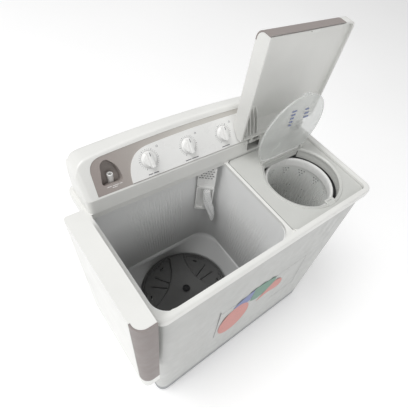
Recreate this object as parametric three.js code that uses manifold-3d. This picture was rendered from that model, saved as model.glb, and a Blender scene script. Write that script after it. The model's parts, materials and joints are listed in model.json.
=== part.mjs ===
// Twin tub washer: a wash tub with a pulsator on the left, a spin basket on the right, and a console behind them.
// Millimetres, +Z up. The machine frame below has x = 0 at the rim's left side, y = 0 at its front and z = 0 on
// the floor; the exported group moves it so that the origin is the bottom centre of the whole object.
import * as THREE from 'three';
import { mergeVertices } from 'three/addons/utils/BufferGeometryUtils.js';
import Module from 'manifold-3d';

const wasm = await Module();
wasm.setup();

// ---- driving dimensions ----
const RIM_Z = 800;          // top of the tub rim above the floor
const WIDTH = 800;          // rim, left to right
const DEPTH = 455;          // rim, front to back, with the part under the console
const BAND_Y = 333;         // front wall of the console
const WALL = 3;             // moulded plastic
const GAP = 0.3;            // between touching pieces
const FOOT_H = 16;
const PAN_TOP = 60;
const INSET = 11;           // cabinet wall behind the rim's edge
const WASH = { x0: 13, x1: 430, y0: 18, y1: 334, front: 48, rear: 8, rearWall: 376 };
const DECK_Z = RIM_Z - 8;   // spin deck, below the rim
const DECK_T = 4;
const PULSATOR = { x: 211, y: 177, radius: 146, z: RIM_Z - 380 };
const SPIN = { x: 621, y: 165, hole: 125, ring: 136, chord: 264 };
const LID_T = 46;           // thickness of both lids
const LID_SKIN = 5.5;       // lid wall, with the trim's seat
const TRIM_T = 2.5;
const LID_ROUND = 27;       // outer edges of the lids
const FASCIA_A = THREE.MathUtils.degToRad(52.8);   // slope of the fascia from level
const FASCIA_Z = RIM_Z + 39;
const FASCIA_Y = BAND_Y + 6;
const CONSOLE_X = 12;       // console's end, in from the rim's side
const CONSOLE_TOP = RIM_Z + 136;
const CONSOLE_BACK = 458;
const SPIN_HINGE = { y: 351, z: RIM_Z + 22, open: 87 };
const SAFETY_HINGE = { y: 270, z: RIM_Z + 3, open: 87 };
const KNOBS = [
  { name: 'wash_timer', x: 194 },
  { name: 'drain_selector', x: 314 },
  { name: 'spin_timer', x: 435 },
];
const KNOB_V = 50;          // knob centres up the fascia
const KNOB_R = 21.5;        // skirt of a dial
const BELT = { z: 297, driven: 90, motor: 20, motorX: 380 };
const PLATFORM_Z = 100;
const ROUND = 32;           // sides on the large round pieces

// ---- materials ----
const paint = (color, roughness, metalness = 0) => new THREE.MeshStandardMaterial({ color, roughness, metalness });
const WHITE = paint(0xe9e8e4, 0.42);
const PANEL_WHITE = paint(0xf1f0ec, 0.35);
const TUB_WHITE = paint(0xd5d6d6, 0.4);
const TAUPE = paint(0x9b8c88, 0.35);
const CHARCOAL = paint(0x37383b, 0.45);
const BLACK = paint(0x151517, 0.5);
const CLEAR = paint(0xe4e8e8, 0.2);
const GREY = paint(0x8d9094, 0.5);
const STEEL = paint(0xb4b6b8, 0.35, 1);
const MOTOR = paint(0x5d6266, 0.5, 0.6);
const RUBBER = paint(0x202124, 0.85);
const MESH = paint(0xf2f2f0, 0.9);

// ---- solid helpers ----
function toSolid(geometry) {
  const bare = geometry.index ? geometry.toNonIndexed() : geometry.clone();
  bare.deleteAttribute('normal');
  bare.deleteAttribute('uv');
  const merged = mergeVertices(bare, 1e-4);
  const vertProperties = new Float32Array(merged.attributes.position.array);
  const triVerts = new Uint32Array(merged.index.array);
  return new wasm.Manifold(new wasm.Mesh({ numProp: 3, vertProperties, triVerts }));
}

function toGeometry(solid) {
  const mesh = solid.getMesh();
  const geometry = new THREE.BufferGeometry();
  geometry.setAttribute('position', new THREE.BufferAttribute(new Float32Array(mesh.vertProperties), 3));
  geometry.setIndex(new THREE.BufferAttribute(new Uint32Array(mesh.triVerts), 1));
  geometry.computeVertexNormals();
  return geometry;
}

const join = (...parts) => parts.reduce((a, b) => a.add(b));
const cut = (body, ...tools) => tools.reduce((a, b) => a.subtract(b), body);
const common = (...parts) => parts.reduce((a, b) => a.intersect(b));

// A box between two corners.
function block(x0, x1, y0, y1, z0, z1) {
  const geometry = new THREE.BoxGeometry(x1 - x0, y1 - y0, z1 - z0);
  return toSolid(geometry.translate((x0 + x1) / 2, (y0 + y1) / 2, (z0 + z1) / 2));
}

function roundedRect(x0, x1, y0, y1, radius) {
  const shape = new THREE.Shape();
  shape.moveTo(x0 + radius, y0);
  shape.lineTo(x1 - radius, y0);
  shape.absarc(x1 - radius, y0 + radius, radius, -Math.PI / 2, 0);
  shape.lineTo(x1, y1 - radius);
  shape.absarc(x1 - radius, y1 - radius, radius, 0, Math.PI / 2);
  shape.lineTo(x0 + radius, y1);
  shape.absarc(x0 + radius, y1 - radius, radius, Math.PI / 2, Math.PI);
  shape.lineTo(x0, y0 + radius);
  shape.absarc(x0 + radius, y0 + radius, radius, Math.PI, Math.PI * 1.5);
  return shape;
}

// An outline in (x, y) made into a prism from z0 to z1.
function prism(shape, z0, z1, curveSegments = 5) {
  const geometry = new THREE.ExtrudeGeometry(shape, { depth: z1 - z0, bevelEnabled: false, curveSegments });
  return toSolid(geometry.translate(0, 0, z0));
}

// An outline in (y, z) made into a prism from x0 to x1.
function prismX(shape, x0, x1, curveSegments = 4) {
  const geometry = new THREE.ExtrudeGeometry(shape, { depth: x1 - x0, bevelEnabled: false, curveSegments });
  const turn = new THREE.Matrix4().makeBasis(
    new THREE.Vector3(0, 1, 0), new THREE.Vector3(0, 0, 1), new THREE.Vector3(1, 0, 0));
  return toSolid(geometry.applyMatrix4(turn).translate(x0, 0, 0));
}

// An outline in (x, z) made into a prism from y0 to y1.
function prismY(shape, y0, y1, curveSegments = 4) {
  const geometry = new THREE.ExtrudeGeometry(shape, { depth: y1 - y0, bevelEnabled: false, curveSegments });
  return toSolid(geometry.rotateX(Math.PI / 2).translate(0, y1, 0));
}

function polygon(points) {
  return new THREE.Shape(points.map(([x, y]) => new THREE.Vector2(x, y)));
}

// A turned piece about the vertical line at (x, y); the profile is [radius, z] from bottom axis to top axis,
// or a closed ring.
function turned(profile, x = 0, y = 0, segments = 24) {
  const geometry = new THREE.LatheGeometry(profile.map(([r, z]) => new THREE.Vector2(r, z)), segments);
  return toSolid(geometry.rotateX(Math.PI / 2).translate(x, y, 0));
}

const rod = (r, z0, z1, x = 0, y = 0, n = 16) => turned([[0, z0], [r, z0], [r, z1], [0, z1]], x, y, n);
const ring = (ri, ro, z0, z1, x = 0, y = 0, n = 16) =>
  turned([[ri, z0], [ro, z0], [ro, z1], [ri, z1], [ri, z0]], x, y, n);

// A round bar along x.
function barX(r, x0, x1, y, z, n = 12) {
  const geometry = new THREE.CylinderGeometry(r, r, x1 - x0, n);
  return toSolid(geometry.rotateZ(Math.PI / 2).translate((x0 + x1) / 2, y, z));
}

// A round bar along y.
function barY(r, y0, y1, x, z, n = 12) {
  const geometry = new THREE.CylinderGeometry(r, r, y1 - y0, n);
  return toSolid(geometry.translate(x, (y0 + y1) / 2, z));
}

// ---- the scene graph ----
const machine = new THREE.Group();

function add(name, solid, material, parent = machine) {
  const mesh = new THREE.Mesh(toGeometry(solid), material);
  mesh.name = name;
  parent.add(mesh);
  return mesh;
}

// ---- casing ----
const caseOutline = (inset, radius) => roundedRect(INSET + inset, WIDTH - INSET - inset,
  INSET + inset, DEPTH - 6 - inset, radius - inset);
const REAR_WINDOW = { x0: 80, x1: 720, z0: 112, z1: 690 };
const DRAIN_OUT = { x: 130, z: 150 };
const GLAND = { x: 660, z: 150, radius: 9 };         // mains cord's way out
const CAPACITOR = { x: 660, y: 360, radius: 21, z1: 104 };

function cabinet() {
  const shell = cut(
    prism(caseOutline(0, 32), PAN_TOP + GAP, RIM_Z - 20),
    prism(caseOutline(WALL, 32), 0, RIM_Z));
  const w = REAR_WINDOW;
  add('cabinet', cut(shell, block(w.x0, w.x1, DEPTH - 30, DEPTH, w.z0, w.z1)), WHITE);
}

function backCover() {
  const w = REAR_WINDOW;
  const y0 = DEPTH - 6 + GAP;
  let cover = block(w.x0 - 14, w.x1 + 14, y0, y0 + 2.5, w.z0 - 14, w.z1 + 14);
  for (let i = 0; i < 8; i += 1) {
    const z = w.z0 + 60 + i * 16;
    cover = cut(cover, block(480, 640, y0 - 5, y0 + 8, z, z + 6));
  }
  cover = cut(cover, barY(15, y0 - 5, y0 + 8, DRAIN_OUT.x, DRAIN_OUT.z, 16));
  cover = cut(cover, barY(GLAND.radius, y0 - 5, y0 + 8, GLAND.x, GLAND.z));
  add('back_cover', cover, WHITE);
}

function basePan() {
  const pan = cut(prism(caseOutline(0, 32), FOOT_H, PAN_TOP), prism(caseOutline(WALL, 32), FOOT_H + WALL, RIM_Z));
  add('base_pan', cut(pan, prism(roundedRect(90, 270, 80, 370, 20), 0, 40)), GREY);
}

function feet() {
  let n = 1;
  for (const x of [70, WIDTH - 70]) {
    for (const y of [60, DEPTH - 70]) {
      const profile = [[0, 0], [22, 0], [24, 3], [20, FOOT_H - GAP], [0, FOOT_H - GAP]];
      add(`foot_${n}`, turned(profile, x, y, 16), RUBBER);
      n += 1;
    }
  }
}

// Rim all round, a lower shelf under the spin deck, the divider strip and a stepped skirt.
function topFrame() {
  const w = WASH;
  const hole = section(w.x0, w.x1, w.y0, w.y1, [w.front, w.rear, w.rear, w.front], 0);
  const washHole = prism(new THREE.Shape(hole.points), 0, RIM_Z + 20);
  const shelf = cut(prism(roundedRect(0, WIDTH, 0, DEPTH, 30), RIM_Z - 18, DECK_Z - DECK_T - GAP),
    rod(139, 0, RIM_Z, SPIN.x, SPIN.y, ROUND));
  const rim = cut(prism(roundedRect(0, WIDTH, 0, DEPTH, 30), RIM_Z - 18, RIM_Z),
    prism(roundedRect(w.x0, 776, 17, BAND_Y + 1, 14), 0, RIM_Z + 20));
  const divider = block(w.x0 - 5, 440, 10, BAND_Y + 8, RIM_Z - 18, DECK_Z);
  const skirt = cut(prism(roundedRect(3, WIDTH - 3, 3, DEPTH - 3, 28), RIM_Z - 34, RIM_Z - 17),
    prism(roundedRect(6, WIDTH - 6, 6, DEPTH - 6, 25), 0, RIM_Z));
  add('top_frame', cut(join(shelf, rim, divider, skirt), washHole), WHITE);
}

// A loft through rounded-rectangle sections, all with the same number of points, closed at both ends.
function loft(sections) {
  const per = sections[0].points.length;
  const positions = [];
  const index = [];
  sections.forEach(({ points, z }) => points.forEach((p) => positions.push(p.x, p.y, z)));
  for (let s = 0; s + 1 < sections.length; s += 1) {
    for (let i = 0; i < per; i += 1) {
      const a = s * per + i;
      const b = s * per + ((i + 1) % per);
      index.push(a, b, b + per, a, b + per, a + per);
    }
  }
  const last = (sections.length - 1) * per;
  THREE.ShapeUtils.triangulateShape(sections[0].points, []).forEach(([a, b, c]) => index.push(c, b, a));
  THREE.ShapeUtils.triangulateShape(sections.at(-1).points, []).forEach(([a, b, c]) =>
    index.push(last + a, last + b, last + c));
  const geometry = new THREE.BufferGeometry();
  geometry.setAttribute('position', new THREE.Float32BufferAttribute(positions, 3));
  geometry.setIndex(index);
  return toSolid(geometry);
}

// A rounded rectangle at height z; the four radii go round from the front right corner.
function section(x0, x1, y0, y1, radii, z, grow = 0) {
  const steps = 5;
  const points = [];
  const corners = [[x1, y0, -1, 1], [x1, y1, -1, -1], [x0, y1, 1, -1], [x0, y0, 1, 1]];
  corners.forEach(([x, y, inX, inY], corner) => {
    const radius = radii[corner];
    for (let i = 0; i <= steps; i += 1) {
      const a = (corner - 1 + i / steps) * (Math.PI / 2);
      const reach = radius + grow;
      points.push(new THREE.Vector2(x + inX * radius + reach * Math.cos(a), y + inY * radius + reach * Math.sin(a)));
    }
  });
  return { points, z };
}

const round = (radius) => [radius, radius, radius, radius];

const LEDGE_Z = RIM_Z - 335;
const WASH_FLOOR = RIM_Z - 398;

function washTubSide(grow, bottom) {
  const w = WASH;
  const p = PULSATOR;
  const well = p.radius + 3.5;
  const left = INSET + 2 * WALL + 1;
  const top = RIM_Z - 18 - GAP + (grow > 0 ? 0 : 5);
  return loft([
    section(p.x - well, p.x + well, p.y - well, p.y + well, round(well - 0.5), bottom, grow),
    section(p.x - well, p.x + well, p.y - well, p.y + well, round(well - 0.5), p.z - 2, grow),
    section(36, 392, 27, 327, round(110), LEDGE_Z - 14, grow),
    section(30, 397, 25, 330, round(72), LEDGE_Z, grow),
    section(27, 401, 23, 333, round(66), LEDGE_Z + 8, grow),
    section(left, w.x1, w.y0, w.rearWall, [w.front, 34, 34, w.front], top, grow),
  ]);
}

function washTub() {
  const body = cut(washTubSide(WALL, WASH_FLOOR - WALL), washTubSide(0, WASH_FLOOR));
  const drain = rod(16, WASH_FLOOR - 20, WASH_FLOOR + 20, PULSATOR.x, PULSATOR.y + 95);
  add('wash_tub', cut(body, rod(20, 0, RIM_Z, PULSATOR.x, PULSATOR.y), drain), TUB_WHITE);
}

// ---- pulsator and its drive ----
const pulsatorGroup = new THREE.Group();
pulsatorGroup.position.set(PULSATOR.x, PULSATOR.y, 0);
machine.add(pulsatorGroup);

// Height of the pulsator's top: a shallow dish with three broad arms and a low hub.
function pulsatorTop(r, angle) {
  const t = Math.max(0.1, r / PULSATOR.radius);
  const arm = 0.5 + 0.5 * Math.cos(3 * (angle - 1.27));
  const hub = Math.max(0, 1.3 - t * 2);
  const rise = Math.min(1, Math.pow(arm, 1.4) * 1.5 + hub) * 16 * Math.sin(Math.PI * Math.min(1, 0.32 + 0.68 * t));
  return PULSATOR.z - 4 * (1 - t) + Math.max(0, rise) * (t < 0.99 ? 1 : 0);
}

function pulsator() {
  const radii = [0, 14, 30, 54, 78, 102, 126, 143];
  const profile = [[0, PULSATOR.z - 10], [PULSATOR.radius - 4, PULSATOR.z - 10],
    [PULSATOR.radius, PULSATOR.z - 8], [PULSATOR.radius, PULSATOR.z - 2]];
  [...radii].reverse().forEach((r) => profile.push([r, PULSATOR.z]));
  const geometry = new THREE.LatheGeometry(profile.map(([r, z]) => new THREE.Vector2(r, z)), 30);
  geometry.rotateX(Math.PI / 2);
  const position = geometry.attributes.position;
  for (let i = 0; i < position.count; i += 1) {
    if (position.getZ(i) < PULSATOR.z - 0.5) continue;
    const r = Math.hypot(position.getX(i), position.getY(i));
    position.setZ(i, pulsatorTop(r, Math.atan2(position.getY(i), position.getX(i))));
  }
  const hub = rod(15, PULSATOR.z - 12, PULSATOR.z - 5);
  const bore = rod(8 + GAP, 0, PULSATOR.z - 1);
  add('pulsator', cut(join(toSolid(geometry), hub), bore), CHARCOAL, pulsatorGroup);
}

function pulsatorCap() {
  const z = pulsatorTop(0, 0) + GAP;
  const profile = [[0, z], [12, z], [12, z + 3], [9, z + 5], [0, z + 5]];
  add('pulsator_cap', turned(profile, 0, 0, 16), BLACK, pulsatorGroup);
}

function pulsatorShaft() {
  add('pulsator_shaft', rod(8, BELT.z + 12, PULSATOR.z - 1.5), STEEL, pulsatorGroup);
}

// A grooved pulley, with a hub that stops below the shaft's end.
function pulley(name, grooveR, rimR, parent, z) {
  const profile = [[0, z - 9], [rimR, z - 9], [rimR, z - 7], [grooveR, z - 5], [grooveR, z + 5],
    [rimR, z + 7], [rimR, z + 9], [0, z + 9]];
  return add(name, turned(profile, 0, 0, 20), name === 'motor_pulley' ? STEEL : BLACK, parent);
}

const motorGroup = new THREE.Group();
motorGroup.position.set(BELT.motorX, PULSATOR.y, 0);
machine.add(motorGroup);

function washDrive() {
  pulley('driven_pulley', BELT.driven, BELT.driven + 6, pulsatorGroup, BELT.z);
  pulley('motor_pulley', BELT.motor, BELT.motor + 6, motorGroup, BELT.z);
  const top = BELT.z - 9 - GAP;
  const motor = [[0, PLATFORM_Z + GAP], [52, PLATFORM_Z + GAP], [52, 130], [58, 134], [58, 240], [52, 246],
    [52, 262], [20, 266], [20, top - 4], [7, top - 4], [7, top], [0, top]];
  add('wash_motor', turned(motor, BELT.motorX, PULSATOR.y, 20), MOTOR);
  const seal = ring(8 + GAP, 20 - GAP, WASH_FLOOR - 2, WASH_FLOOR + 4, PULSATOR.x, PULSATOR.y);
  add('shaft_seal', seal, RUBBER);
  const z1 = WASH_FLOOR - WALL - GAP;
  const housing = [[8 + GAP, z1], [8 + GAP, 322], [26, 322], [30, 330], [34, z1 - 8], [60, z1 - 6], [60, z1],
    [8 + GAP, z1]];
  add('shaft_housing', turned(housing, PULSATOR.x, PULSATOR.y, 16), STEEL);
}

// The loop round both pulleys: two arcs joined by the outer tangents.
function beltOutline(big, small, distance) {
  const shape = new THREE.Shape();
  const a = Math.acos((big - small) / distance);
  shape.absarc(0, 0, big, a, Math.PI * 2 - a);
  shape.absarc(distance, 0, small, -a, a);
  return shape;
}

function driveBelt() {
  const d = BELT.motorX - PULSATOR.x;
  const outer = prism(beltOutline(BELT.driven + 7, BELT.motor + 7, d), BELT.z - 4.5, BELT.z + 4.5, 14);
  const inner = prism(beltOutline(BELT.driven + 2, BELT.motor + 2, d), 0, RIM_Z, 14);
  add('drive_belt', cut(outer, inner).translate([PULSATOR.x, PULSATOR.y, 0]), RUBBER);
}

// ---- frame that carries both motors ----
function motorPlatform() {
  const base = FOOT_H + WALL + GAP;
  const profile = polygon([[60, base], [64, base], [64, PLATFORM_Z - 4], [276, PLATFORM_Z - 4], [276, base],
    [280, base], [280, PLATFORM_Z], [60, PLATFORM_Z]]);
  add('motor_platform', prismX(profile, 310, 735), STEEL);
}

// ---- spin side ----
const spinGroup = new THREE.Group();
spinGroup.position.set(SPIN.x, SPIN.y, 0);
machine.add(spinGroup);
const BASKET_TOP = RIM_Z - 68;
const BASKET_FLOOR = RIM_Z - 366;
const SPIN_TUB_FLOOR = RIM_Z - 395;

function spinDeck() {
  const plate = prism(roundedRect(440 + GAP, 776 - GAP, 17 + GAP, BAND_Y + 1 - GAP, 13), DECK_Z - DECK_T, DECK_Z);
  const rim = turned([[SPIN.hole - 2, DECK_Z - 34], [SPIN.hole + 2, DECK_Z - 34], [SPIN.hole + 4, DECK_Z - 2],
    [SPIN.ring + 1, DECK_Z - 1], [SPIN.ring, DECK_Z + 3], [SPIN.ring - 2, DECK_Z + 4], [SPIN.hole + 2, DECK_Z + 4],
    [SPIN.hole, DECK_Z + 2], [SPIN.hole - 2, DECK_Z - 34]], SPIN.x, SPIN.y, ROUND);
  const hole = rod(SPIN.hole + 1, 0, RIM_Z, SPIN.x, SPIN.y, ROUND);
  const notch = block(SPIN.x - 16, SPIN.x + 16, SPIN.y - SPIN.ring - 1, SPIN.y - SPIN.hole + 4, DECK_Z + 1, RIM_Z);
  const behind = block(440, 776, SPIN.chord, BAND_Y, 0, RIM_Z);
  const bridge = common(rod(SPIN.ring, DECK_Z - DECK_T, DECK_Z, SPIN.x, SPIN.y, ROUND), behind);
  const edge = common(rod(SPIN.hole, DECK_Z - 20, DECK_Z, SPIN.x, SPIN.y, ROUND),
    block(440, 776, SPIN.chord, SPIN.chord + 4, 0, RIM_Z));
  const tongue = prism(roundedRect(SPIN.x - 16, SPIN.x + 22, SPIN.y - SPIN.hole - 4, SPIN.y - SPIN.hole + 13, 5),
    DECK_Z - 3, DECK_Z + 1);
  let deck = cut(join(cut(plate, hole), cut(rim, behind), bridge, edge), notch);
  deck = join(deck, tongue);
  for (const x of [527, 708]) {
    deck = join(deck, block(x, x + 7, SAFETY_HINGE.y - 7.4, SAFETY_HINGE.y + 7.4, DECK_Z - 3, SAFETY_HINGE.z + 4.5));
  }
  const y = SAFETY_HINGE.y;
  add('spin_deck', cut(deck, barX(3 + GAP, 524, 718, y, SAFETY_HINGE.z)), WHITE);
}

function spinOuterTub() {
  const profile = [[30, SPIN_TUB_FLOOR - WALL], [130, SPIN_TUB_FLOOR - WALL], [149, SPIN_TUB_FLOOR + 16],
    [149, RIM_Z - 18 - GAP], [146, RIM_Z - 18 - GAP], [146, SPIN_TUB_FLOOR + 18], [128, SPIN_TUB_FLOOR],
    [30, SPIN_TUB_FLOOR], [30, SPIN_TUB_FLOOR - WALL]];
  add('spin_outer_tub', turned(profile, SPIN.x, SPIN.y, ROUND), TUB_WHITE);
}

function spinBasket() {
  const profile = [[0, BASKET_FLOOR - 2], [105, BASKET_FLOOR - 2], [115, BASKET_FLOOR + 9], [117.5, BASKET_TOP],
    [115, BASKET_TOP], [112.6, BASKET_FLOOR + 11], [104, BASKET_FLOOR], [34, BASKET_FLOOR],
    [28, BASKET_FLOOR + 26], [14, BASKET_FLOOR + 32], [0, BASKET_FLOOR + 32]];
  add('spin_basket', cut(turned(profile, 0, 0, ROUND), rod(9 + GAP, 0, BASKET_FLOOR + 20)), TUB_WHITE, spinGroup);
  const z = BASKET_TOP + GAP;
  const balance = [[108, z], [117.5, z], [119, z + 4], [119, z + 22], [116.5, z + 29], [112.5, z + 32],
    [108.5, z + 29], [106.5, z + 20], [106.5, z + 4], [108, z]];
  add('balance_ring', turned(balance, 0, 0, ROUND), PANEL_WHITE, spinGroup);
}

const DRUM = { z0: 300, z1: 334, radius: 56 };

function spinDrive() {
  add('spin_shaft', rod(9, DRUM.z1 + GAP, BASKET_FLOOR + 19), STEEL, spinGroup);
  const drum = [[0, DRUM.z0], [DRUM.radius - 4, DRUM.z0], [DRUM.radius, DRUM.z0 + 3], [DRUM.radius, DRUM.z1 - 3],
    [DRUM.radius - 4, DRUM.z1], [0, DRUM.z1]];
  add('brake_drum', turned(drum, 0, 0, ROUND), STEEL, spinGroup);
  const motor = [[0, 150], [54, 150], [62, 156], [62, 268], [54, 276], [24, 280], [24, 292], [8, 292],
    [8, DRUM.z0 - GAP], [0, DRUM.z0 - GAP]];
  add('spin_motor', turned(motor, SPIN.x, SPIN.y, 20), MOTOR);
  const z = SPIN_TUB_FLOOR - WALL;
  const bellows = [[9 + GAP, z - 6], [16, z - 14], [24, z - 8], [29, z - 12], [30 - GAP, z - 2], [30 - GAP, z + 8],
    [9 + GAP, z + 14], [9 + GAP, z - 6]];
  add('bellows_seal', turned(bellows, SPIN.x, SPIN.y, 20), RUBBER);
}

// Three ribbed rubber mounts between the platform and the spin motor.
function motorMounts() {
  for (let i = 0; i < 3; i += 1) {
    const a = (i * 2 * Math.PI) / 3 + Math.PI / 2;
    const profile = [[0, PLATFORM_Z + GAP]];
    const pitch = 12;
    for (let k = 0; k < 4; k += 1) {
      const z = PLATFORM_Z + GAP + k * pitch;
      profile.push([16, z], [12, z + pitch / 2]);
    }
    profile.push([16, 149.5], [0, 149.5]);
    const x = SPIN.x + 38 * Math.cos(a);
    add(`motor_mount_${i + 1}`, turned(profile, x, SPIN.y + 38 * Math.sin(a), 12), RUBBER);
  }
}

const BRAKE_POST = { x: SPIN.x + 96, y: SPIN.y + 40, r: 5 };

function brake() {
  const p = BRAKE_POST;
  const post = join(rod(p.r, PLATFORM_Z + GAP, DRUM.z1, p.x, p.y), rod(11, PLATFORM_Z + GAP, DRUM.z0 + 6, p.x, p.y));
  add('brake_post', post, STEEL);
  const arm = join(block(p.x - 8, p.x + 8, p.y - 96, p.y + 40, 308, 314), rod(12, 308, 326, p.x, p.y));
  const shoe = block(p.x - 38, p.x - 7, p.y - 60, p.y - 20, 308, 326);
  const clear = rod(DRUM.radius + 1, 0, RIM_Z, SPIN.x, SPIN.y, ROUND);
  add('brake_lever', cut(join(arm, shoe), rod(p.r + GAP, 0, RIM_Z, p.x, p.y), clear), STEEL);
}

// ---- drain ----
const VALVE = { x: PULSATOR.x, y: PULSATOR.y + 95 };

function drain() {
  const z1 = WASH_FLOOR - WALL - GAP;
  const body = cut(rod(28, 330, z1, VALVE.x, VALVE.y), rod(20, 336, RIM_Z, VALVE.x, VALVE.y));
  const stub = barX(13, VALVE.x - 56, VALVE.x - 10, VALVE.y, 352);
  const bore = join(barX(10, VALVE.x - 70, VALVE.x, VALVE.y, 352), rod(20, 336, RIM_Z, VALVE.x, VALVE.y));
  add('drain_valve', cut(join(body, stub), bore), GREY);
  const plug = join(rod(18, 372, z1 - 8, VALVE.x, VALVE.y), rod(5, 340, 375, VALVE.x, VALVE.y, 8));
  add('drain_plug', plug, RUBBER);
  const route = new THREE.CatmullRomCurve3([[VALVE.x - 57, VALVE.y, 352], [VALVE.x - 72, VALVE.y, 352],
    [DRAIN_OUT.x - 8, VALVE.y + 40, 300], [DRAIN_OUT.x, VALVE.y + 80, 210], [DRAIN_OUT.x, DEPTH - 60, 160],
    [DRAIN_OUT.x, DEPTH - 20, DRAIN_OUT.z], [DRAIN_OUT.x, DEPTH + 3, DRAIN_OUT.z]]
    .map(([x, y, z]) => new THREE.Vector3(x, y, z)));
  const pipe = new THREE.Shape();
  pipe.absarc(0, 0, 13, 0, Math.PI * 2);
  const bent = new THREE.ExtrudeGeometry(pipe, { extrudePath: route, steps: 14, curveSegments: 5 });
  add('drain_pipe', toSolid(bent), GREY);
}

function electrics() {
  const c = CAPACITOR;
  add('capacitor', rod(c.radius, FOOT_H + WALL + GAP, c.z1, c.x, c.y), BLACK);
  const y = DEPTH - 6 + GAP;
  const g = GLAND;
  const gland = join(barY(g.radius - GAP, y - 8, y + 4, g.x, g.z), barY(g.radius + 4, y + 2.5 + GAP, y + 9, g.x, g.z));
  add('cord_gland', cut(gland, barY(4, y - 20, y + 20, g.x, g.z, 8)), BLACK);
}

// ---- console ----
// Side outline: front band, sloped fascia, rounded top edge, back.
function consoleSide(inset) {
  const topY = FASCIA_Y + (CONSOLE_TOP - FASCIA_Z) / Math.tan(FASCIA_A);
  const slide = inset / Math.sin(FASCIA_A);
  const shape = new THREE.Shape();
  shape.moveTo(BAND_Y + inset, inset > 0 ? RIM_Z - 20 : RIM_Z + GAP);
  shape.lineTo(BAND_Y + inset, FASCIA_Z - inset);
  shape.lineTo(FASCIA_Y + slide, FASCIA_Z);
  shape.lineTo(topY - 6 + slide, CONSOLE_TOP - 8);
  shape.quadraticCurveTo(topY + slide, CONSOLE_TOP - inset, topY + 10, CONSOLE_TOP - inset);
  shape.lineTo(CONSOLE_BACK - 24, CONSOLE_TOP - 8 - inset);
  shape.quadraticCurveTo(CONSOLE_BACK - inset, CONSOLE_TOP - 12 - inset, CONSOLE_BACK - inset, CONSOLE_TOP - 36);
  shape.lineTo(CONSOLE_BACK - inset, inset > 0 ? RIM_Z - 20 : RIM_Z + GAP);
  return shape;
}

// Front outline: rounded upper corners and a gently arched top.
function consoleFront(inset) {
  const end = CONSOLE_X + inset;
  const low = CONSOLE_TOP - 18 - inset;
  const shape = new THREE.Shape();
  shape.moveTo(end, RIM_Z - 30);
  shape.lineTo(end, low - 40);
  shape.quadraticCurveTo(end + 2, low - 5, CONSOLE_X + 40, low);
  shape.quadraticCurveTo(WIDTH / 2, CONSOLE_TOP + 17 - inset, WIDTH - CONSOLE_X - 40, low);
  shape.quadraticCurveTo(WIDTH - end - 2, low - 5, WIDTH - end, low - 40);
  shape.lineTo(WIDTH - end, RIM_Z - 30);
  return shape;
}

function consoleSolid(inset) {
  const end = CONSOLE_X + inset;
  const radii = [8 - inset, 30 - inset, 30 - inset, 8 - inset];
  const plan = new THREE.Shape(section(end, WIDTH - end, BAND_Y + inset, CONSOLE_BACK - inset, radii, 0).points);
  return common(
    prismX(consoleSide(inset), -10, WIDTH + 10, 4),
    prismY(consoleFront(inset), BAND_Y - 10, CONSOLE_BACK + 10, 9),
    prism(plan, RIM_Z - 40, RIM_Z + 200));
}

// The fascia's own frame: x along the console, y up the slope, z out of it.
const fascia = new THREE.Group();
fascia.position.set(0, FASCIA_Y, FASCIA_Z);
fascia.rotation.x = FASCIA_A;
machine.add(fascia);
const fromFascia = new THREE.Matrix4().compose(fascia.position,
  new THREE.Quaternion().setFromEuler(fascia.rotation), new THREE.Vector3(1, 1, 1));
const placed = (solid, matrix) => solid.transform(matrix.toArray());

const FASCIA_PANEL = { x0: 43, x1: 757, v0: 4 };

// The taupe panel's outline: a tall left end and an arched top edge.
function panelOutline(grow) {
  const { x0, x1, v0 } = FASCIA_PANEL;
  const shape = new THREE.Shape();
  shape.moveTo(x0 - grow, v0 - grow);
  shape.lineTo(x1 + grow, v0 - grow);
  shape.lineTo(x1 - 4 + grow, 60);
  shape.quadraticCurveTo(x1 - 7 + grow, 91 + grow, x1 - 40, 94 + grow);
  shape.quadraticCurveTo(WIDTH / 2, 118 + grow, x0 + 40, 94 + grow);
  shape.quadraticCurveTo(x0 + 7 - grow, 91 + grow, x0 + 4 - grow, 60);
  return shape;
}

// The white knob panel: a big round upper left corner, level top edge.
function knobOutline() {
  const shape = new THREE.Shape();
  const x1 = FASCIA_PANEL.x1 - 14;
  shape.moveTo(133, 6);
  shape.lineTo(x1, 6);
  shape.lineTo(x1 - 4, 66);
  shape.quadraticCurveTo(x1 - 6, 83, x1 - 30, 86);
  shape.quadraticCurveTo(WIDTH / 2, 99, 200, 86);
  shape.quadraticCurveTo(137, 79, 133, 6);
  return shape;
}

const POCKET = { x0: 66, x1: 112, v0: 24, v1: 83, depth: 36 };
const NOZZLE = { x: 91, v: 28.5, depth: 26, height: 24 };

// The inlet pocket's outline, a leaning arch wider at the bottom.
function pocketOutline(grow) {
  const { x0, x1, v0, v1 } = POCKET;
  const shape = new THREE.Shape();
  shape.moveTo(x0 - grow, v0 + 1 - grow);
  shape.lineTo(x1 + grow, v0 - 1 - grow);
  shape.quadraticCurveTo(x1 + 7 + grow, v0 + 30, x1 - 10 + grow, v1 - 8 + grow);
  shape.quadraticCurveTo(x1 - 18, v1 + 2 + grow, x0 + 20, v1 + grow);
  shape.quadraticCurveTo(x0 + 6 - grow, v1 - 4 + grow, x0 + 4 - grow, v0 + 36);
  return shape;
}

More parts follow.
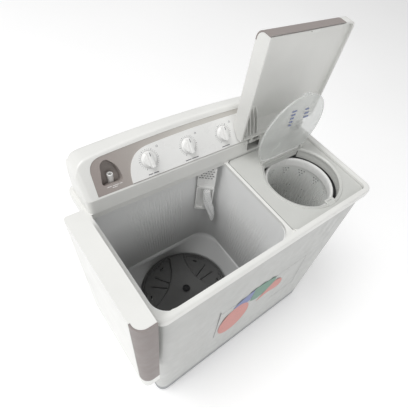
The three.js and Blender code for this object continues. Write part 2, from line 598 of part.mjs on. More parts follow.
function consoleBody() {
  const window = placed(prism(panelOutline(GAP), -12, 12, 9), fromFascia);
  const hingeTabs = [502, 640, 776].map((x) =>
    block(x, x + 4, BAND_Y + 2, SPIN_HINGE.y + 8, RIM_Z + 10, RIM_Z + 34));
  const slots = [[520, 574], [716, 770]].map(([x0, x1]) =>
    block(x0, x1, BAND_Y - 5, FASCIA_Y + 5, RIM_Z + 3, FASCIA_Z + 8));
  const back = block(52, WIDTH - 52, CONSOLE_BACK - 12, CONSOLE_BACK + 5, RIM_Z + 10, RIM_Z + 84);
  const shell = cut(consoleSolid(0), consoleSolid(WALL), window, back);
  const rodHole = barX(3 + GAP, 495, 784, SPIN_HINGE.y, SPIN_HINGE.z);
  add('console_body', cut(join(shell, ...hingeTabs), rodHole, ...slots), WHITE);
  const y0 = CONSOLE_BACK + GAP;
  add('console_back', block(44, WIDTH - 44, y0, y0 + 2.5, RIM_Z + 2, RIM_Z + 92), WHITE);
}

// The nozzle stands upright in the pocket, rising through its lower wall.
const nozzleTurn = new THREE.Matrix4().makeRotationX(-FASCIA_A).setPosition(NOZZLE.x, NOZZLE.v, -NOZZLE.depth);

function fasciaPanels() {
  const plate = prism(panelOutline(0), -3, -0.8, 9);
  const pocket = prism(pocketOutline(2.2), -POCKET.depth, -0.9, 5);
  const hollow = prism(pocketOutline(0), 2.5 - POCKET.depth, 5, 5);
  let panel = cut(join(plate, pocket), hollow);
  panel = cut(panel, placed(rod(8, -30, 40), nozzleTurn));
  const knobPlate = prism(knobOutline(), -0.5, 1.8, 9);
  const holes = KNOBS.map(({ x }) => rod(6, -20, 20, x, KNOB_V));
  add('fascia_panel', cut(panel, ...holes), TAUPE, fascia);
  add('knob_panel', cut(knobPlate, ...holes), PANEL_WHITE, fascia);
  const top = NOZZLE.height;
  const nozzle = turned([[4.5, -20], [7.5, -20], [7.5, top - 2], [6.5, top], [4.5, top], [4.5, -20]], 0, 0, 16);
  add('inlet_nozzle', placed(nozzle, nozzleTurn), PANEL_WHITE, fascia);
}

// A dial: low skirt, round cap and a raised grip bar, on a short shaft.
function knobs() {
  KNOBS.forEach(({ name, x }) => {
    const z = 2.2;
    const dial = turned([[0, -14], [3, -14], [3, z], [KNOB_R - 1, z], [KNOB_R, z + 2], [KNOB_R - 2, z + 4],
      [KNOB_R - 4, z + 5], [KNOB_R - 5, z + 9], [0, z + 9]], 0, 0, 24);
    const disc = rod(KNOB_R - 1, 0, 40, 0, 0, 24);
    const grip = common(block(-7, 7, -KNOB_R, KNOB_R, z + 4, z + 19), disc);
    const knob = add(`${name}_knob`, join(dial, grip), PANEL_WHITE, fascia);
    knob.position.set(x, KNOB_V, 0);
    knob.rotation.z = THREE.MathUtils.degToRad(3);
    const box = cut(rod(22, -44, -3 - GAP, x, KNOB_V, 8), rod(3 + GAP, -16, 0, x, KNOB_V, 8));
    add(`${name}_switch`, box, GREY, fascia);
  });
}

// ---- lids ----
// A lid in its closed place: plan corners (x0, y0) to (x1, y1), underside at z = 0. The free end, on the right
// when side is 1 and on the left when it is -1, is rounded in plan and over the top; the other end is flat.
// The left lid has a square rear edge.
function lidSolid(x0, x1, y0, y1, side, inset, low = 0) {
  const a = inset;
  const r = LID_ROUND - inset;
  const square = side < 0;
  const rearRun = (square ? 6 : LID_ROUND) - inset * 0.4;
  const profile = new THREE.Shape();
  profile.moveTo(y0 + a, low);
  profile.lineTo(y0 + a, LID_T - a - r);
  profile.absarc(y0 + a + r, LID_T - a - r, r, Math.PI, Math.PI / 2, true);
  profile.lineTo(y1 - a - rearRun, LID_T - a);
  profile.lineTo(y1 - a, LID_T - a - rearRun);
  profile.lineTo(y1 - a, low);
  const free = side > 0 ? x1 - a : x0 + a;
  const flat = side > 0 ? x0 + a : x1 - a;
  const s = side;
  const end = new THREE.Shape();
  end.moveTo(flat, low - 1);
  end.lineTo(free, low - 1);
  end.lineTo(free, LID_T - a - 12);
  end.quadraticCurveTo(free, LID_T - a, free - s * 16, LID_T - a);
  end.lineTo(flat, LID_T - a);
  const pr = 24 - inset;
  const rearPr = (square ? 8 : 24) - inset;
  const plan = new THREE.Shape();
  plan.moveTo(flat, y0 + a);
  plan.lineTo(free - s * pr, y0 + a);
  plan.quadraticCurveTo(free, y0 + a, free, y0 + a + pr);
  plan.lineTo(free, y1 - a - rearPr);
  plan.quadraticCurveTo(free, y1 - a, free - s * rearPr, y1 - a);
  plan.lineTo(flat, y1 - a);
  return common(prismX(profile, x0 - 5, x1 + 5, 6), prismY(end, y0 - 5, y1 + 5, 4),
    prism(plan, low - 2, LID_T + 5, 4));
}

// The lid's shell and the trim along its front edge; the trim stops short of the free end.
function lidPieces(x0, x1, y0, y1, side) {
  const full = lidSolid(x0, x1, y0, y1, side, 0);
  const hollow = lidSolid(x0, x1, y0, y1, side, LID_SKIN, -5);
  const reach = (x1 - x0) * 0.86;
  const t0 = side > 0 ? x0 - 1 : x1 - reach;
  const t1 = side > 0 ? x0 + reach : x1 + 1;
  const skin = (depth, grow) => common(cut(full, lidSolid(x0 - 50, x1 + 50, y0, y1 + 50, side, depth, -5)),
    block(t0 - grow, t1 + grow, y0 - 2, y0 + 31 + grow, -10, LID_T + 10));
  return { shell: cut(full, hollow, skin(TRIM_T + GAP, GAP)), trim: skin(TRIM_T, 0) };
}

const SPIN_LID = { x0: 477, x1: 806, y0: -10, y1: 312, z: RIM_Z + 1 };

function spinLid() {
  const l = SPIN_LID;
  const { shell, trim } = lidPieces(l.x0, l.x1, l.y0, l.y1, 1);
  const hy = SPIN_HINGE.y;
  const hz = SPIN_HINGE.z - l.z;
  let body = shell;
  for (const x of [525, 721]) {
    const arm = polygon([[l.y1 - 4, 3], [hy - 16, 3], [hy + 2, hz - 5], [hy + 3, hz + 3], [hy - 6, hz + 2],
      [hy - 20, 10], [l.y1 - 4, 10]]);
    for (const x0 of [x, x + 37]) body = join(body, prismX(arm, x0, x0 + 7));
    body = join(body, barX(5.5, x, x + 44, hy, hz));
  }
  for (let i = 0; i < 4; i += 1) {
    const x = l.x0 + 30 + i * 14;
    const rib = polygon([[l.y1 - 6, 6], [l.y1 - 5, LID_T - 26], [l.y1 - 24, LID_T - 6], [l.y1 - 78, LID_T - 6],
      [l.y1 - 40, 20]]);
    body = join(body, prismX(rib, x, x + 3));
  }
  const mid = (l.x0 + l.x1) / 2;
  body = join(body, block(mid - 14, mid + 14, l.y0 + 5, l.y0 + 11, 1, 9));
  body = cut(body, barX(3 + GAP, 500, 790, hy, hz));
  const lid = new THREE.Group();
  lid.position.set(0, hy, SPIN_HINGE.z);
  lid.rotation.x = -THREE.MathUtils.degToRad(SPIN_HINGE.open);
  machine.add(lid);
  add('spin_lid_shell', body.translate([0, -hy, -hz]), WHITE, lid);
  add('spin_lid_trim', trim.translate([0, -hy, -hz]), TAUPE, lid);
  add('spin_hinge_rod', barX(3, 498, 782, hy, SPIN_HINGE.z), STEEL);
}

const WASH_LID = { length: 479, y0: -13, y1: 309, inner: -5, top: RIM_Z + 62 };
const RAIL = { y: 266, z0: RIM_Z - 420, z1: RIM_Z - 42 };

function washLid() {
  const l = WASH_LID;
  const { shell, trim } = lidPieces(0, l.length, l.y0, l.y1, -1);
  const lid = new THREE.Group();
  lid.position.set(l.inner, 0, l.top - l.length);
  lid.rotation.y = -Math.PI / 2;
  machine.add(lid);
  add('wash_lid_shell', shell, WHITE, lid);
  add('wash_lid_trim', trim, TAUPE, lid);
  const z0 = RAIL.z0 + 24;
  const shoe = join(block(-45, 5, RAIL.y - 3, RAIL.y + 3, z0, z0 + 34),
    block(4.5, 7.5, RAIL.y - 10, RAIL.y + 10, z0, z0 + 34));
  add('lid_slider', cut(shoe, block(-80, -50 + LID_SKIN + GAP, 0, 400, 0, 2000)), GREY);
}

// The channel on the casing that the wash lid's slider runs in.
function lidRail() {
  const outer = block(1.5, INSET - GAP, RAIL.y - 15, RAIL.y + 15, RAIL.z0, RAIL.z1);
  const cavity = block(3.8, 8.2, RAIL.y - 11, RAIL.y + 11, 0, RIM_Z);
  const mouth = block(-5, 5, RAIL.y - 4.5, RAIL.y + 4.5, 0, RIM_Z);
  add('lid_guide_rail', cut(outer, cavity, mouth), GREY);
}

// The round inner lid over the basket, hinged at the back of the opening.
function safetyLid() {
  const r = 130;
  const cy = 172 - SAFETY_HINGE.y;
  const disc = turned([[0, -1], [r - 4, -1], [r - 4, -4], [r - 1, -4], [r, -1], [r, 1.5], [r - 3, 2.5], [r - 6, 1.2],
    [0, 1.2]], 0, cy, ROUND);
  const trimmed = cut(disc, block(-200, 200, -9.6, 100, -20, 20));
  const tongue = block(-62, 62, -14, 0, -1, 1.2);
  const barrel = barX(4, -80, 80, 0, 0);
  const pins = barX(2.7, -92, 92, 0, 0);
  const tab = prism(roundedRect(-14, 14, cy - r - 4, cy - r + 8, 4), -1, 2);
  const lid = new THREE.Group();
  lid.position.set(SPIN.x, SAFETY_HINGE.y, SAFETY_HINGE.z);
  lid.rotation.x = -THREE.MathUtils.degToRad(SAFETY_HINGE.open);
  machine.add(lid);
  add('safety_lid', join(trimmed, tongue, barrel, pins, tab), CLEAR, lid);
}

// ---- lint filter, set across the rear right corner of the wash tub ----
// x, y: middle of its top edge; split and low: down its face to the frame's two ends.
const FILTER = { x: 379.5, y: 346, half: 28.5, split: 74, low: 174, turn: -38, lean: -7 };

function lintFilter() {
  const corner = new THREE.Group();
  corner.position.set(FILTER.x, FILTER.y, RIM_Z - 20);
  corner.rotation.order = 'ZXY';
  corner.rotation.z = THREE.MathUtils.degToRad(FILTER.turn);
  corner.rotation.x = THREE.MathUtils.degToRad(FILTER.lean);
  machine.add(corner);
  const h = FILTER.half;
  let cover = block(-h, h, 0, 5, -FILTER.split, 0);
  for (let row = 0; row < 4; row += 1) {
    for (let i = 0; i < 5; i += 1) {
      const x = -h + 5 + i * 10;
      const z = -38 + row * 9;
      cover = cut(cover, block(x, x + 7.5, -2, 3.5, z, z + 4.5));
    }
  }
  add('filter_cover', cover, TUB_WHITE, corner);
  const top = -FILTER.split - GAP;
  const frame = cut(block(-h, h, -3, 5, -FILTER.low, top),
    block(-h + 5, -3, -6, 3.5, 8 - FILTER.low, top - 8),
    block(4, h - 5, -6, 3.5, 8 - FILTER.low, top - 8));
  add('lint_frame', frame, PANEL_WHITE, corner);
  const bag = [[0, -140], [5, -138], [9, -122], [12, -78], [13, -34], [10, -10], [0, 0]];
  const sock = turned(bag, 0, 0, 12).scale([1, 0.75, 1]).rotate([0, -13, 0]);
  add('lint_bag', sock.translate([4, -14, top - 4]), MESH, corner);
}

cabinet();
backCover();
basePan();
feet();
topFrame();
washTub();
pulsator();
pulsatorCap();
pulsatorShaft();
washDrive();
driveBelt();
motorPlatform();
spinDeck();
spinOuterTub();
spinBasket();
spinDrive();
motorMounts();
brake();
drain();
electrics();
consoleBody();
fasciaPanels();
knobs();
spinLid();
washLid();
lidRail();
safetyLid();
lintFilter();

// Origin: bottom centre of the object as it stands.
const bounds = new THREE.Box3().setFromObject(machine, true);
machine.position.set(-(bounds.min.x + bounds.max.x) / 2, -(bounds.min.y + bounds.max.y) / 2, 0);
const washer = new THREE.Group();
washer.name = 'twin_tub_washer';
washer.add(machine);
export default washer;
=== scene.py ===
"""Twin tub washer: its looks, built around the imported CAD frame.

Shapes are given in the machine's millimetres, with x = 0 at the rim's left side, y = 0 at its front and z = 0 on
the floor. A place matrix turns them into the row frame: MACHINE for what stands still, FASCIA for the sloped
control panel (x along it, y up the slope, z out of it), and one for each lid in its shut position.
"""
import json
import math

import bmesh
import bpy
import numpy as np
from mathutils import Matrix, Vector

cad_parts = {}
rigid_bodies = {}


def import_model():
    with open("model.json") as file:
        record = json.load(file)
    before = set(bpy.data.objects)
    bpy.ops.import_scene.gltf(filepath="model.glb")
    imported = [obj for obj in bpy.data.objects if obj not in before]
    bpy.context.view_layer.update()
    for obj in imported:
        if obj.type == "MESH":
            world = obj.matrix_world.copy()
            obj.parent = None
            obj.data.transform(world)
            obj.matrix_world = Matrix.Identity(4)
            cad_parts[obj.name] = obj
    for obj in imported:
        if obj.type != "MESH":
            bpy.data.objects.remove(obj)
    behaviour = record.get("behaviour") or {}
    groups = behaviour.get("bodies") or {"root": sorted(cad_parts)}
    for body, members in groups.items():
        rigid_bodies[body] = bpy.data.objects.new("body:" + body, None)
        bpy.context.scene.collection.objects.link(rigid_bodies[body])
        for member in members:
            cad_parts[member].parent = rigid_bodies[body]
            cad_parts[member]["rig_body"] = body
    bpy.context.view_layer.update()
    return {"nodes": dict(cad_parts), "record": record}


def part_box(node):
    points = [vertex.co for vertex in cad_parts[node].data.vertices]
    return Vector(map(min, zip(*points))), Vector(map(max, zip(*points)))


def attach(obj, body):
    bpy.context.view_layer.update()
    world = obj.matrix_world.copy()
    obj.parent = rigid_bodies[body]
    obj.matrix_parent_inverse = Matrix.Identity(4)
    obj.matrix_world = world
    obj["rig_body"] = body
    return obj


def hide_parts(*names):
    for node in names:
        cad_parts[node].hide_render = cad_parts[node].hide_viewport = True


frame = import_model()

MM = 0.001
RIM_LOW, RIM_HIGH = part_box("top_frame")
MACHINE = Matrix.Translation((RIM_LOW.x, RIM_LOW.y, 0)) @ Matrix.Scale(MM, 4)


def span(node):
    """A CAD node's lowest and highest corner in the machine's millimetres."""
    inverse = MACHINE.inverted()
    low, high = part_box(node)
    return inverse @ low, inverse @ high


def middle(node):
    low, high = span(node)
    return (low + high) / 2


# ---- driving dimensions ----
WIDTH, DEPTH, RIM_Z = (round(v, 2) for v in span("top_frame")[1])
WALL = 3
GAP = 0.3
INSET = 11
CASE_BOTTOM = span("cabinet")[0].z
CASE_TOP = span("cabinet")[1].z
WASH = {"x0": 13, "x1": 430, "y0": 18, "y1": 334, "front": 48, "rear": 8, "rear_wall": 376}
DECK_Z = RIM_Z - 8
PULSATOR = middle("pulsator")
PULSATOR_R = 146
PULSATOR_Z = RIM_Z - 380
SPIN = middle("balance_ring")
SPIN_HOLE = 125
SPIN_RING = 136
SPIN_CHORD = 264
BAND_Y = span("console_body")[0].y
CONSOLE_BACK = span("console_body")[1].y
FASCIA_SLOPE = math.radians(52.8)
FASCIA_Y = BAND_Y + 6
FASCIA_Z = RIM_Z + 39
CONSOLE_X = 12
CONSOLE_TOP = RIM_Z + 136
KNOB_V = 50
KNOB_TURN = math.radians(3)
KNOBS = {name: middle(name + "_switch").x for name in ("wash_timer", "drain_selector", "spin_timer")}
LID_T = 46
LID_SKIN = 5.5
TRIM_T = 3.8
LID_ROUND = 27
SPIN_LID = {"x0": 477, "x1": 806, "y0": -10, "y1": 312, "z": RIM_Z + 1}
SPIN_PIVOT = Vector((0, 351, RIM_Z + 22))
SPIN_OPEN = math.radians(87)
WASH_LID = {"length": 479, "y0": -13, "y1": 309, "inner": -5, "top": RIM_Z + 62}
SAFETY_PIVOT = Vector((SPIN.x, 270, RIM_Z + 3))
SAFETY_OPEN = math.radians(87)
FILTER = {"x": 379.5, "y": 346, "half": 28.5, "split": 74, "low": 174, "turn": math.radians(-38), "lean": math.radians(-7)}


def turn(angle, axis):
    return Matrix.Rotation(angle, 4, axis)


FASCIA = MACHINE @ Matrix.Translation((0, FASCIA_Y, FASCIA_Z)) @ turn(FASCIA_SLOPE, "X")
SPIN_LID_SHUT = (MACHINE @ Matrix.Translation(SPIN_PIVOT) @ turn(-SPIN_OPEN, "X")
                 @ Matrix.Translation((0, -SPIN_PIVOT.y, SPIN_LID["z"] - SPIN_PIVOT.z)))
WASH_LID_FLAT = (MACHINE @ Matrix.Translation((WASH_LID["inner"], 0, WASH_LID["top"] - WASH_LID["length"]))
                 @ turn(-math.pi / 2, "Y"))
SAFETY_SHUT = MACHINE @ Matrix.Translation(SAFETY_PIVOT) @ turn(-SAFETY_OPEN, "X")
FILTER_FACE = (MACHINE @ Matrix.Translation((FILTER["x"], FILTER["y"], RIM_Z - 20)) @ turn(FILTER["turn"], "Z")
               @ turn(FILTER["lean"], "X"))


def about(x, y, z=0, place=MACHINE):
    """The place matrix of something built round its own vertical axis at (x, y, z)."""
    return place @ Matrix.Translation((x, y, z))


# ---- outlines ----
def arc(cx, cy, radius, start, end, steps):
    angles = np.radians(np.linspace(start, end, steps + 1))
    return [(cx + radius * math.cos(a), cy + radius * math.sin(a)) for a in angles]


def rounded_rect(x0, x1, y0, y1, radius, steps=12):
    """radius is one number, or four that go round from the (x1, y0) corner."""
    corners = ((x1, y0, -1, 1), (x1, y1, -1, -1), (x0, y1, 1, -1), (x0, y0, 1, 1))
    points = []
    for k, ((x, y, in_x, in_y), r) in enumerate(zip(corners, np.broadcast_to(radius, 4))):
        points += arc(x + in_x * r, y + in_y * r, r, 90 * k - 90, 90 * k, steps)
    return points


def outline(start, *legs, steps=16):
    """A path of straight legs (x, y) and curves (control x, control y, x, y)."""
    points = [start]
    for leg in legs:
        if len(leg) == 2:
            points.append(leg)
            continue
        (ax, ay), (bx, by, cx, cy) = points[-1], leg
        for i in range(1, steps + 1):
            t = i / steps
            points.append(((1 - t) ** 2 * ax + 2 * t * (1 - t) * bx + t * t * cx,
                           (1 - t) ** 2 * ay + 2 * t * (1 - t) * by + t * t * cy))
    return points


def smooth(x):
    x = np.clip(x, 0, 1)
    return x * x * (3 - 2 * x)


# ---- solids ----
def solid(name, points, faces, place=MACHINE):
    """A mesh object from millimetre points, in the row frame, with doubles merged and its faces pointing out."""
    matrix = np.array(place)
    points = np.asarray(points, float) @ matrix[:3, :3].T + matrix[:3, 3]
    mesh = bpy.data.meshes.new(name)
    mesh.from_pydata(points.tolist(), [], faces)
    work = bmesh.new()
    work.from_mesh(mesh)
    bmesh.ops.remove_doubles(work, verts=work.verts[:], dist=2e-6)
    bmesh.ops.recalc_face_normals(work, faces=work.faces[:])
    work.to_mesh(mesh)
    work.free()
    obj = bpy.data.objects.new(name, mesh)
    bpy.context.scene.collection.objects.link(obj)
    return obj


def loft(name, rings, place=MACHINE, closed=False):
    """A skin through rings of points; its ends are capped, or joined where closed."""
    per = len(rings[0])
    count = len(rings)
    faces = []
    for r in range(count if closed else count - 1):
        a, b = r * per, ((r + 1) % count) * per
        faces += [(a + i, a + (i + 1) % per, b + (i + 1) % per, b + i) for i in range(per)]
    if not closed:
        faces.append(tuple(reversed(range(per))))
        faces.append(tuple((count - 1) * per + i for i in range(per)))
    return solid(name, np.concatenate([np.asarray(ring, float) for ring in rings]), faces, place)


def slab(name, points, low, high, place=MACHINE):
    """An outline in (x, y) from z = low to z = high."""
    return loft(name, [[(x, y, z) for x, y in points] for z in (low, high)], place)


def slab_x(name, points, x0, x1, place=MACHINE):
    return loft(name, [[(x, y, z) for y, z in points] for x in (x0, x1)], place)


def slab_y(name, points, y0, y1, place=MACHINE):
    return loft(name, [[(x, y, z) for x, z in points] for y in (y0, y1)], place)


def block(name, x0, x1, y0, y1, z0, z1, place=MACHINE):
    return slab(name, [(x0, y0), (x1, y0), (x1, y1), (x0, y1)], z0, z1, place)


def turned(name, profile, place, segments=128):
    """A turned piece round the place's z axis; a profile that ends where it starts is a ring."""
    closed = profile[0] == profile[-1]
    angles = np.linspace(0, 2 * math.pi, segments, endpoint=False)
    rings = [np.stack([r * np.cos(angles), r * np.sin(angles), np.full(segments, z)], 1) for r, z in profile]
    if closed:
        return loft(name, rings[:-1], place, closed=True)
    return loft(name, rings, place)


def rod(name, radius, z0, z1, place, segments=48):
    return slab(name, arc(0, 0, radius, 0, 360, segments)[:-1], z0, z1, place)


def bar_x(name, radius, x0, x1, y, z, place=MACHINE, segments=32):
    return slab_x(name, arc(y, z, radius, 0, 360, segments)[:-1], x0, x1, place)


def pipe(name, points, radius, place=MACHINE, segments=16, ring=False):
    """A round tube along points; ring joins its end to its start."""
    points = [Vector(p) for p in points]
    count = len(points)
    rings = []
    side = None
    for i, point in enumerate(points):
        ahead = points[(i + 1) % count] if ring or i + 1 < count else point
        behind = points[i - 1] if ring or i > 0 else point
        along = (ahead - behind).normalized()
        side = (along.orthogonal() if side is None else side - along * side.dot(along)).normalized()
        up = along.cross(side)
        rings.append([point + radius * (side * math.cos(a) + up * math.sin(a))
                      for a in np.linspace(0, 2 * math.pi, segments, endpoint=False)])
    return loft(name, rings, place, closed=ring)


def bake(obj):
    """Applies the object's modifiers."""
    graph = bpy.context.evaluated_depsgraph_get()
    mesh = bpy.data.meshes.new_from_object(obj.evaluated_get(graph))
    obj.modifiers.clear()
    obj.data = mesh
    return obj


def combine(obj, tools, how):
    for tool in tools:
        step = obj.modifiers.new(how, "BOOLEAN")
        step.operation = how
        step.solver = "MANIFOLD"
        step.object = tool
    bake(obj)
    for tool in tools:
        bpy.data.objects.remove(tool)
    return obj


def cut(obj, *tools):
    return combine(obj, tools, "DIFFERENCE")


def join(obj, *tools):
    return combine(obj, tools, "UNION")


def common(obj, *tools):
    return combine(obj, tools, "INTERSECT")


def merged(objs):
    """Separate solids in one mesh object."""
    work = bmesh.new()
    for obj in objs:
        work.from_mesh(obj.data)
    for obj in objs[1:]:
        bpy.data.objects.remove(obj)
    work.to_mesh(objs[0].data)
    work.free()
    return objs[0]


def soften(obj, width, steps=2, angle=30):
    """Rounds the edges that are sharper than angle."""
    work = bmesh.new()
    work.from_mesh(obj.data)
    bmesh.ops.remove_doubles(work, verts=work.verts[:], dist=1e-5)
    bmesh.ops.dissolve_limit(work, angle_limit=math.radians(0.4), verts=work.verts[:], edges=work.edges[:])
    work.to_mesh(obj.data)
    work.free()
    step = obj.modifiers.new("soft edges", "BEVEL")
    step.width = width * MM
    step.segments = steps
    step.limit_method = "ANGLE"
    step.angle_limit = math.radians(angle)
    step.use_clamp_overlap = True
    return bake(obj)


def piece(obj, name, body, material, replaces=(), crease=32):
    """Names and shades a finished mesh, and puts it on its body."""
    obj.name = name
    obj.data.name = name
    obj.data.materials.clear()
    obj.data.materials.append(material)
    obj.data.shade_smooth()
    obj.data.set_sharp_from_angle(angle=math.radians(crease))
    weighted = obj.modifiers.new("weighted normals", "WEIGHTED_NORMAL")
    weighted.keep_sharp = True
    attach(obj, body)
    if replaces:
        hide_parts(*replaces)
    return obj


# ---- materials ----
def blank(name):
    material = bpy.data.materials.new(name)
    material.use_nodes = True
    nodes = material.node_tree.nodes
    return material, nodes, material.node_tree.links, nodes["Principled BSDF"]


def noise(nodes, links, scale, detail=2.0, stretch=(1, 1, 1)):
    """A noise texture in the piece's own space, in metres."""
    where = nodes.new("ShaderNodeTexCoord")
    mapping = nodes.new("ShaderNodeMapping")
    mapping.inputs["Scale"].default_value = stretch
    texture = nodes.new("ShaderNodeTexNoise")
    texture.inputs["Scale"].default_value = scale
    texture.inputs["Detail"].default_value = detail
    links.new(where.outputs["Object"], mapping.inputs["Vector"])
    links.new(mapping.outputs["Vector"], texture.inputs["Vector"])
    return texture.outputs["Fac"]


def ramp(nodes, links, fac, low, high, start=0.35, end=0.65):
    node = nodes.new("ShaderNodeValToRGB")
    node.color_ramp.elements[0].position = start
    node.color_ramp.elements[1].position = end
    node.color_ramp.elements[0].color = (*low, 1)
    node.color_ramp.elements[1].color = (*high, 1)
    links.new(fac, node.inputs["Fac"])
    return node.outputs["Color"]


def grey(value):
    return (value, value, value)


def bump(nodes, links, shader, height, strength, distance):
    node = nodes.new("ShaderNodeBump")
    node.inputs["Strength"].default_value = strength
    node.inputs["Distance"].default_value = distance
    links.new(height, node.inputs["Height"])
    links.new(node.outputs["Normal"], shader.inputs["Normal"])


def tinted(color, factor):
    return tuple(min(1.0, c * factor) for c in color)


def multiplied(nodes, links, first, second):
    mix = nodes.new("ShaderNodeMix")
    mix.data_type = "RGBA"
    mix.blend_type = "MULTIPLY"
    mix.inputs["Factor"].default_value = 1
    links.new(first, mix.inputs["A"])
    links.new(second, mix.inputs["B"])
    return mix.outputs["Result"]


def run_along(nodes, links, axis, start, end):
    """0 to 1 between two positions on one of the machine's axes, in mm."""
    where = nodes.new("ShaderNodeTexCoord")
    parts = nodes.new("ShaderNodeSeparateXYZ")
    links.new(where.outputs["Object"], parts.inputs["Vector"])
    spread = nodes.new("ShaderNodeMapRange")
    for limit, at in (("From Min", start), ("From Max", end)):
        spread.inputs[limit].default_value = (MACHINE @ Vector((at, at, at)))["XYZ".index(axis)]
    links.new(parts.outputs[axis], spread.inputs["Value"])
    return spread.outputs["Result"]


def moulded(name, color, roughness, grain=900, depth=0.25, variation=0.03, coat=0.0, shine=0.5, painted_shade=None):
    """Moulded plastic: fine surface grain, a slow drift of tone, and patches that are a little duller.
    painted_shade is (height, height, darkening) of a painted shade that darkens a tub towards its floor, standing in
    for the shade that falls deep inside it."""
    material, nodes, links, shader = blank(name)
    drift = noise(nodes, links, 5, 3)
    tone = ramp(nodes, links, drift, tinted(color, 1 - variation), tinted(color, 1 + variation))
    # Painted shade: the colour is multiplied darker towards the lower of the two heights.
    if painted_shade:
        low, high, dark = painted_shade
        tone = multiplied(nodes, links, tone, ramp(nodes, links, run_along(nodes, links, "Z", low, high), grey(dark),
                                                   grey(1.0), 0, 1))
    links.new(tone, shader.inputs["Base Color"])
    shader.inputs["Specular IOR Level"].default_value = shine
    dull = noise(nodes, links, 28, 4)
    links.new(ramp(nodes, links, dull, grey(roughness - 0.05), grey(roughness + 0.07)), shader.inputs["Roughness"])
    bump(nodes, links, shader, noise(nodes, links, grain, 2), depth, 0.0001)
    shader.inputs["Coat Weight"].default_value = coat
    shader.inputs["Coat Roughness"].default_value = 0.12
    shader.inputs["IOR"].default_value = 1.5
    return material


def pearl_with_painted_sheen(name, dark, pale, start, end):
    """Pearly taupe lacquer with fine flakes; its tone runs from dark to pale between two x positions in mm, a painted
    reflection of the lacquer's sheen.
    """
    material, nodes, links, shader = blank(name)
    # Painted reflection: the colour lightens along x.
    tone = ramp(nodes, links, run_along(nodes, links, "X", start, end), dark, pale, 0, 1)
    flakes = noise(nodes, links, 2600, 1)
    specks = ramp(nodes, links, flakes, grey(0.9), grey(1.0), 0.3, 0.7)
    links.new(multiplied(nodes, links, tone, specks), shader.inputs["Base Color"])
    links.new(ramp(nodes, links, noise(nodes, links, 30, 3), grey(0.5), grey(0.6)), shader.inputs["Roughness"])
    bump(nodes, links, shader, flakes, 0.08, 0.0001)
    shader.inputs["Metallic"].default_value = 0.05
    return material


def metal(name, color, roughness, grain=(1, 1, 14)):
    material, nodes, links, shader = blank(name)
    lines = noise(nodes, links, 120, 4, grain)
    links.new(ramp(nodes, links, lines, tinted(color, 0.88), tinted(color, 1.08)), shader.inputs["Base Color"])
    links.new(ramp(nodes, links, lines, grey(roughness - 0.06), grey(roughness + 0.1)), shader.inputs["Roughness"])
    bump(nodes, links, shader, lines, 0.12, 0.0001)
    shader.inputs["Metallic"].default_value = 1.0
    return material


def rubber(name, color):
    material, nodes, links, shader = blank(name)
    dust = noise(nodes, links, 45, 5)
    links.new(ramp(nodes, links, dust, color, tinted(color, 1.9), 0.4, 0.8), shader.inputs["Base Color"])
    links.new(ramp(nodes, links, dust, grey(0.7), grey(0.9)), shader.inputs["Roughness"])
    bump(nodes, links, shader, noise(nodes, links, 1500, 3), 0.35, 0.0002)
    shader.inputs["Specular IOR Level"].default_value = 0.3
    return material


def clear_plastic(name):
    """Milky see-through plastic with a faint moulding haze."""
    material, nodes, links, shader = blank(name)
    haze = noise(nodes, links, 14, 3)
    links.new(ramp(nodes, links, haze, (0.76, 0.78, 0.76), (0.86, 0.875, 0.86)), shader.inputs["Base Color"])
    links.new(ramp(nodes, links, haze, grey(0.16), grey(0.28)), shader.inputs["Roughness"])
    bump(nodes, links, shader, noise(nodes, links, 500, 2), 0.1, 0.0001)
    shader.inputs["Alpha"].default_value = 0.42
    shader.inputs["IOR"].default_value = 1.49
    return material


def net(name):
    """Fine knitted polyester net: crossing threads that stand out of the cloth."""
    material, nodes, links, shader = blank(name)
    where = nodes.new("ShaderNodeTexCoord")
    heights = []
    for direction in ("Z", "DIAGONAL"):
        threads = nodes.new("ShaderNodeTexWave")
        threads.wave_type = "BANDS"
        threads.bands_direction = direction
        threads.inputs["Scale"].default_value = 210
        threads.inputs["Distortion"].default_value = 0.6
        threads.inputs["Detail Scale"].default_value = 3
        links.new(where.outputs["Object"], threads.inputs["Vector"])
        heights.append(threads.outputs["Fac"])
    both = nodes.new("ShaderNodeMath")
    both.operation = "MAXIMUM"
    links.new(heights[0], both.inputs[0])
    links.new(heights[1], both.inputs[1])
    links.new(ramp(nodes, links, both.outputs[0], (0.5, 0.51, 0.52), (0.93, 0.93, 0.92), 0.35, 0.8),
              shader.inputs["Base Color"])
    bump(nodes, links, shader, both.outputs[0], 0.8, 0.0006)
    shader.inputs["Roughness"].default_value = 0.85
    shader.inputs["Sheen Weight"].default_value = 0.4
    return material


def ink(name, color):
    """Printing ink, thin and slightly uneven."""
    material, nodes, links, shader = blank(name)
    patchy = noise(nodes, links, 420, 3)
    links.new(ramp(nodes, links, patchy, tinted(color, 0.85), tinted(color, 1.15)), shader.inputs["Base Color"])
    links.new(ramp(nodes, links, patchy, grey(0.38), grey(0.5)), shader.inputs["Roughness"])
    return material


WHITE = moulded("white_moulding", (0.80, 0.80, 0.775), 0.34, coat=0.12)
PANEL_WHITE = moulded("panel_white", (0.86, 0.86, 0.845), 0.3, coat=0.25)
# A darker copy of the white moulding: painted shade for the cabinet's upright faces.
CASE_WHITE_PAINTED_SHADE = moulded("case_painted_shade", (0.50, 0.505, 0.49), 0.36, coat=0.1)
# A darker copy of the white moulding: painted shade for the shadow the lids cast on the deck.
DECK_PAINTED_SHADE = moulded("deck_painted_shade", (0.60, 0.605, 0.58), 0.36, coat=0.1)
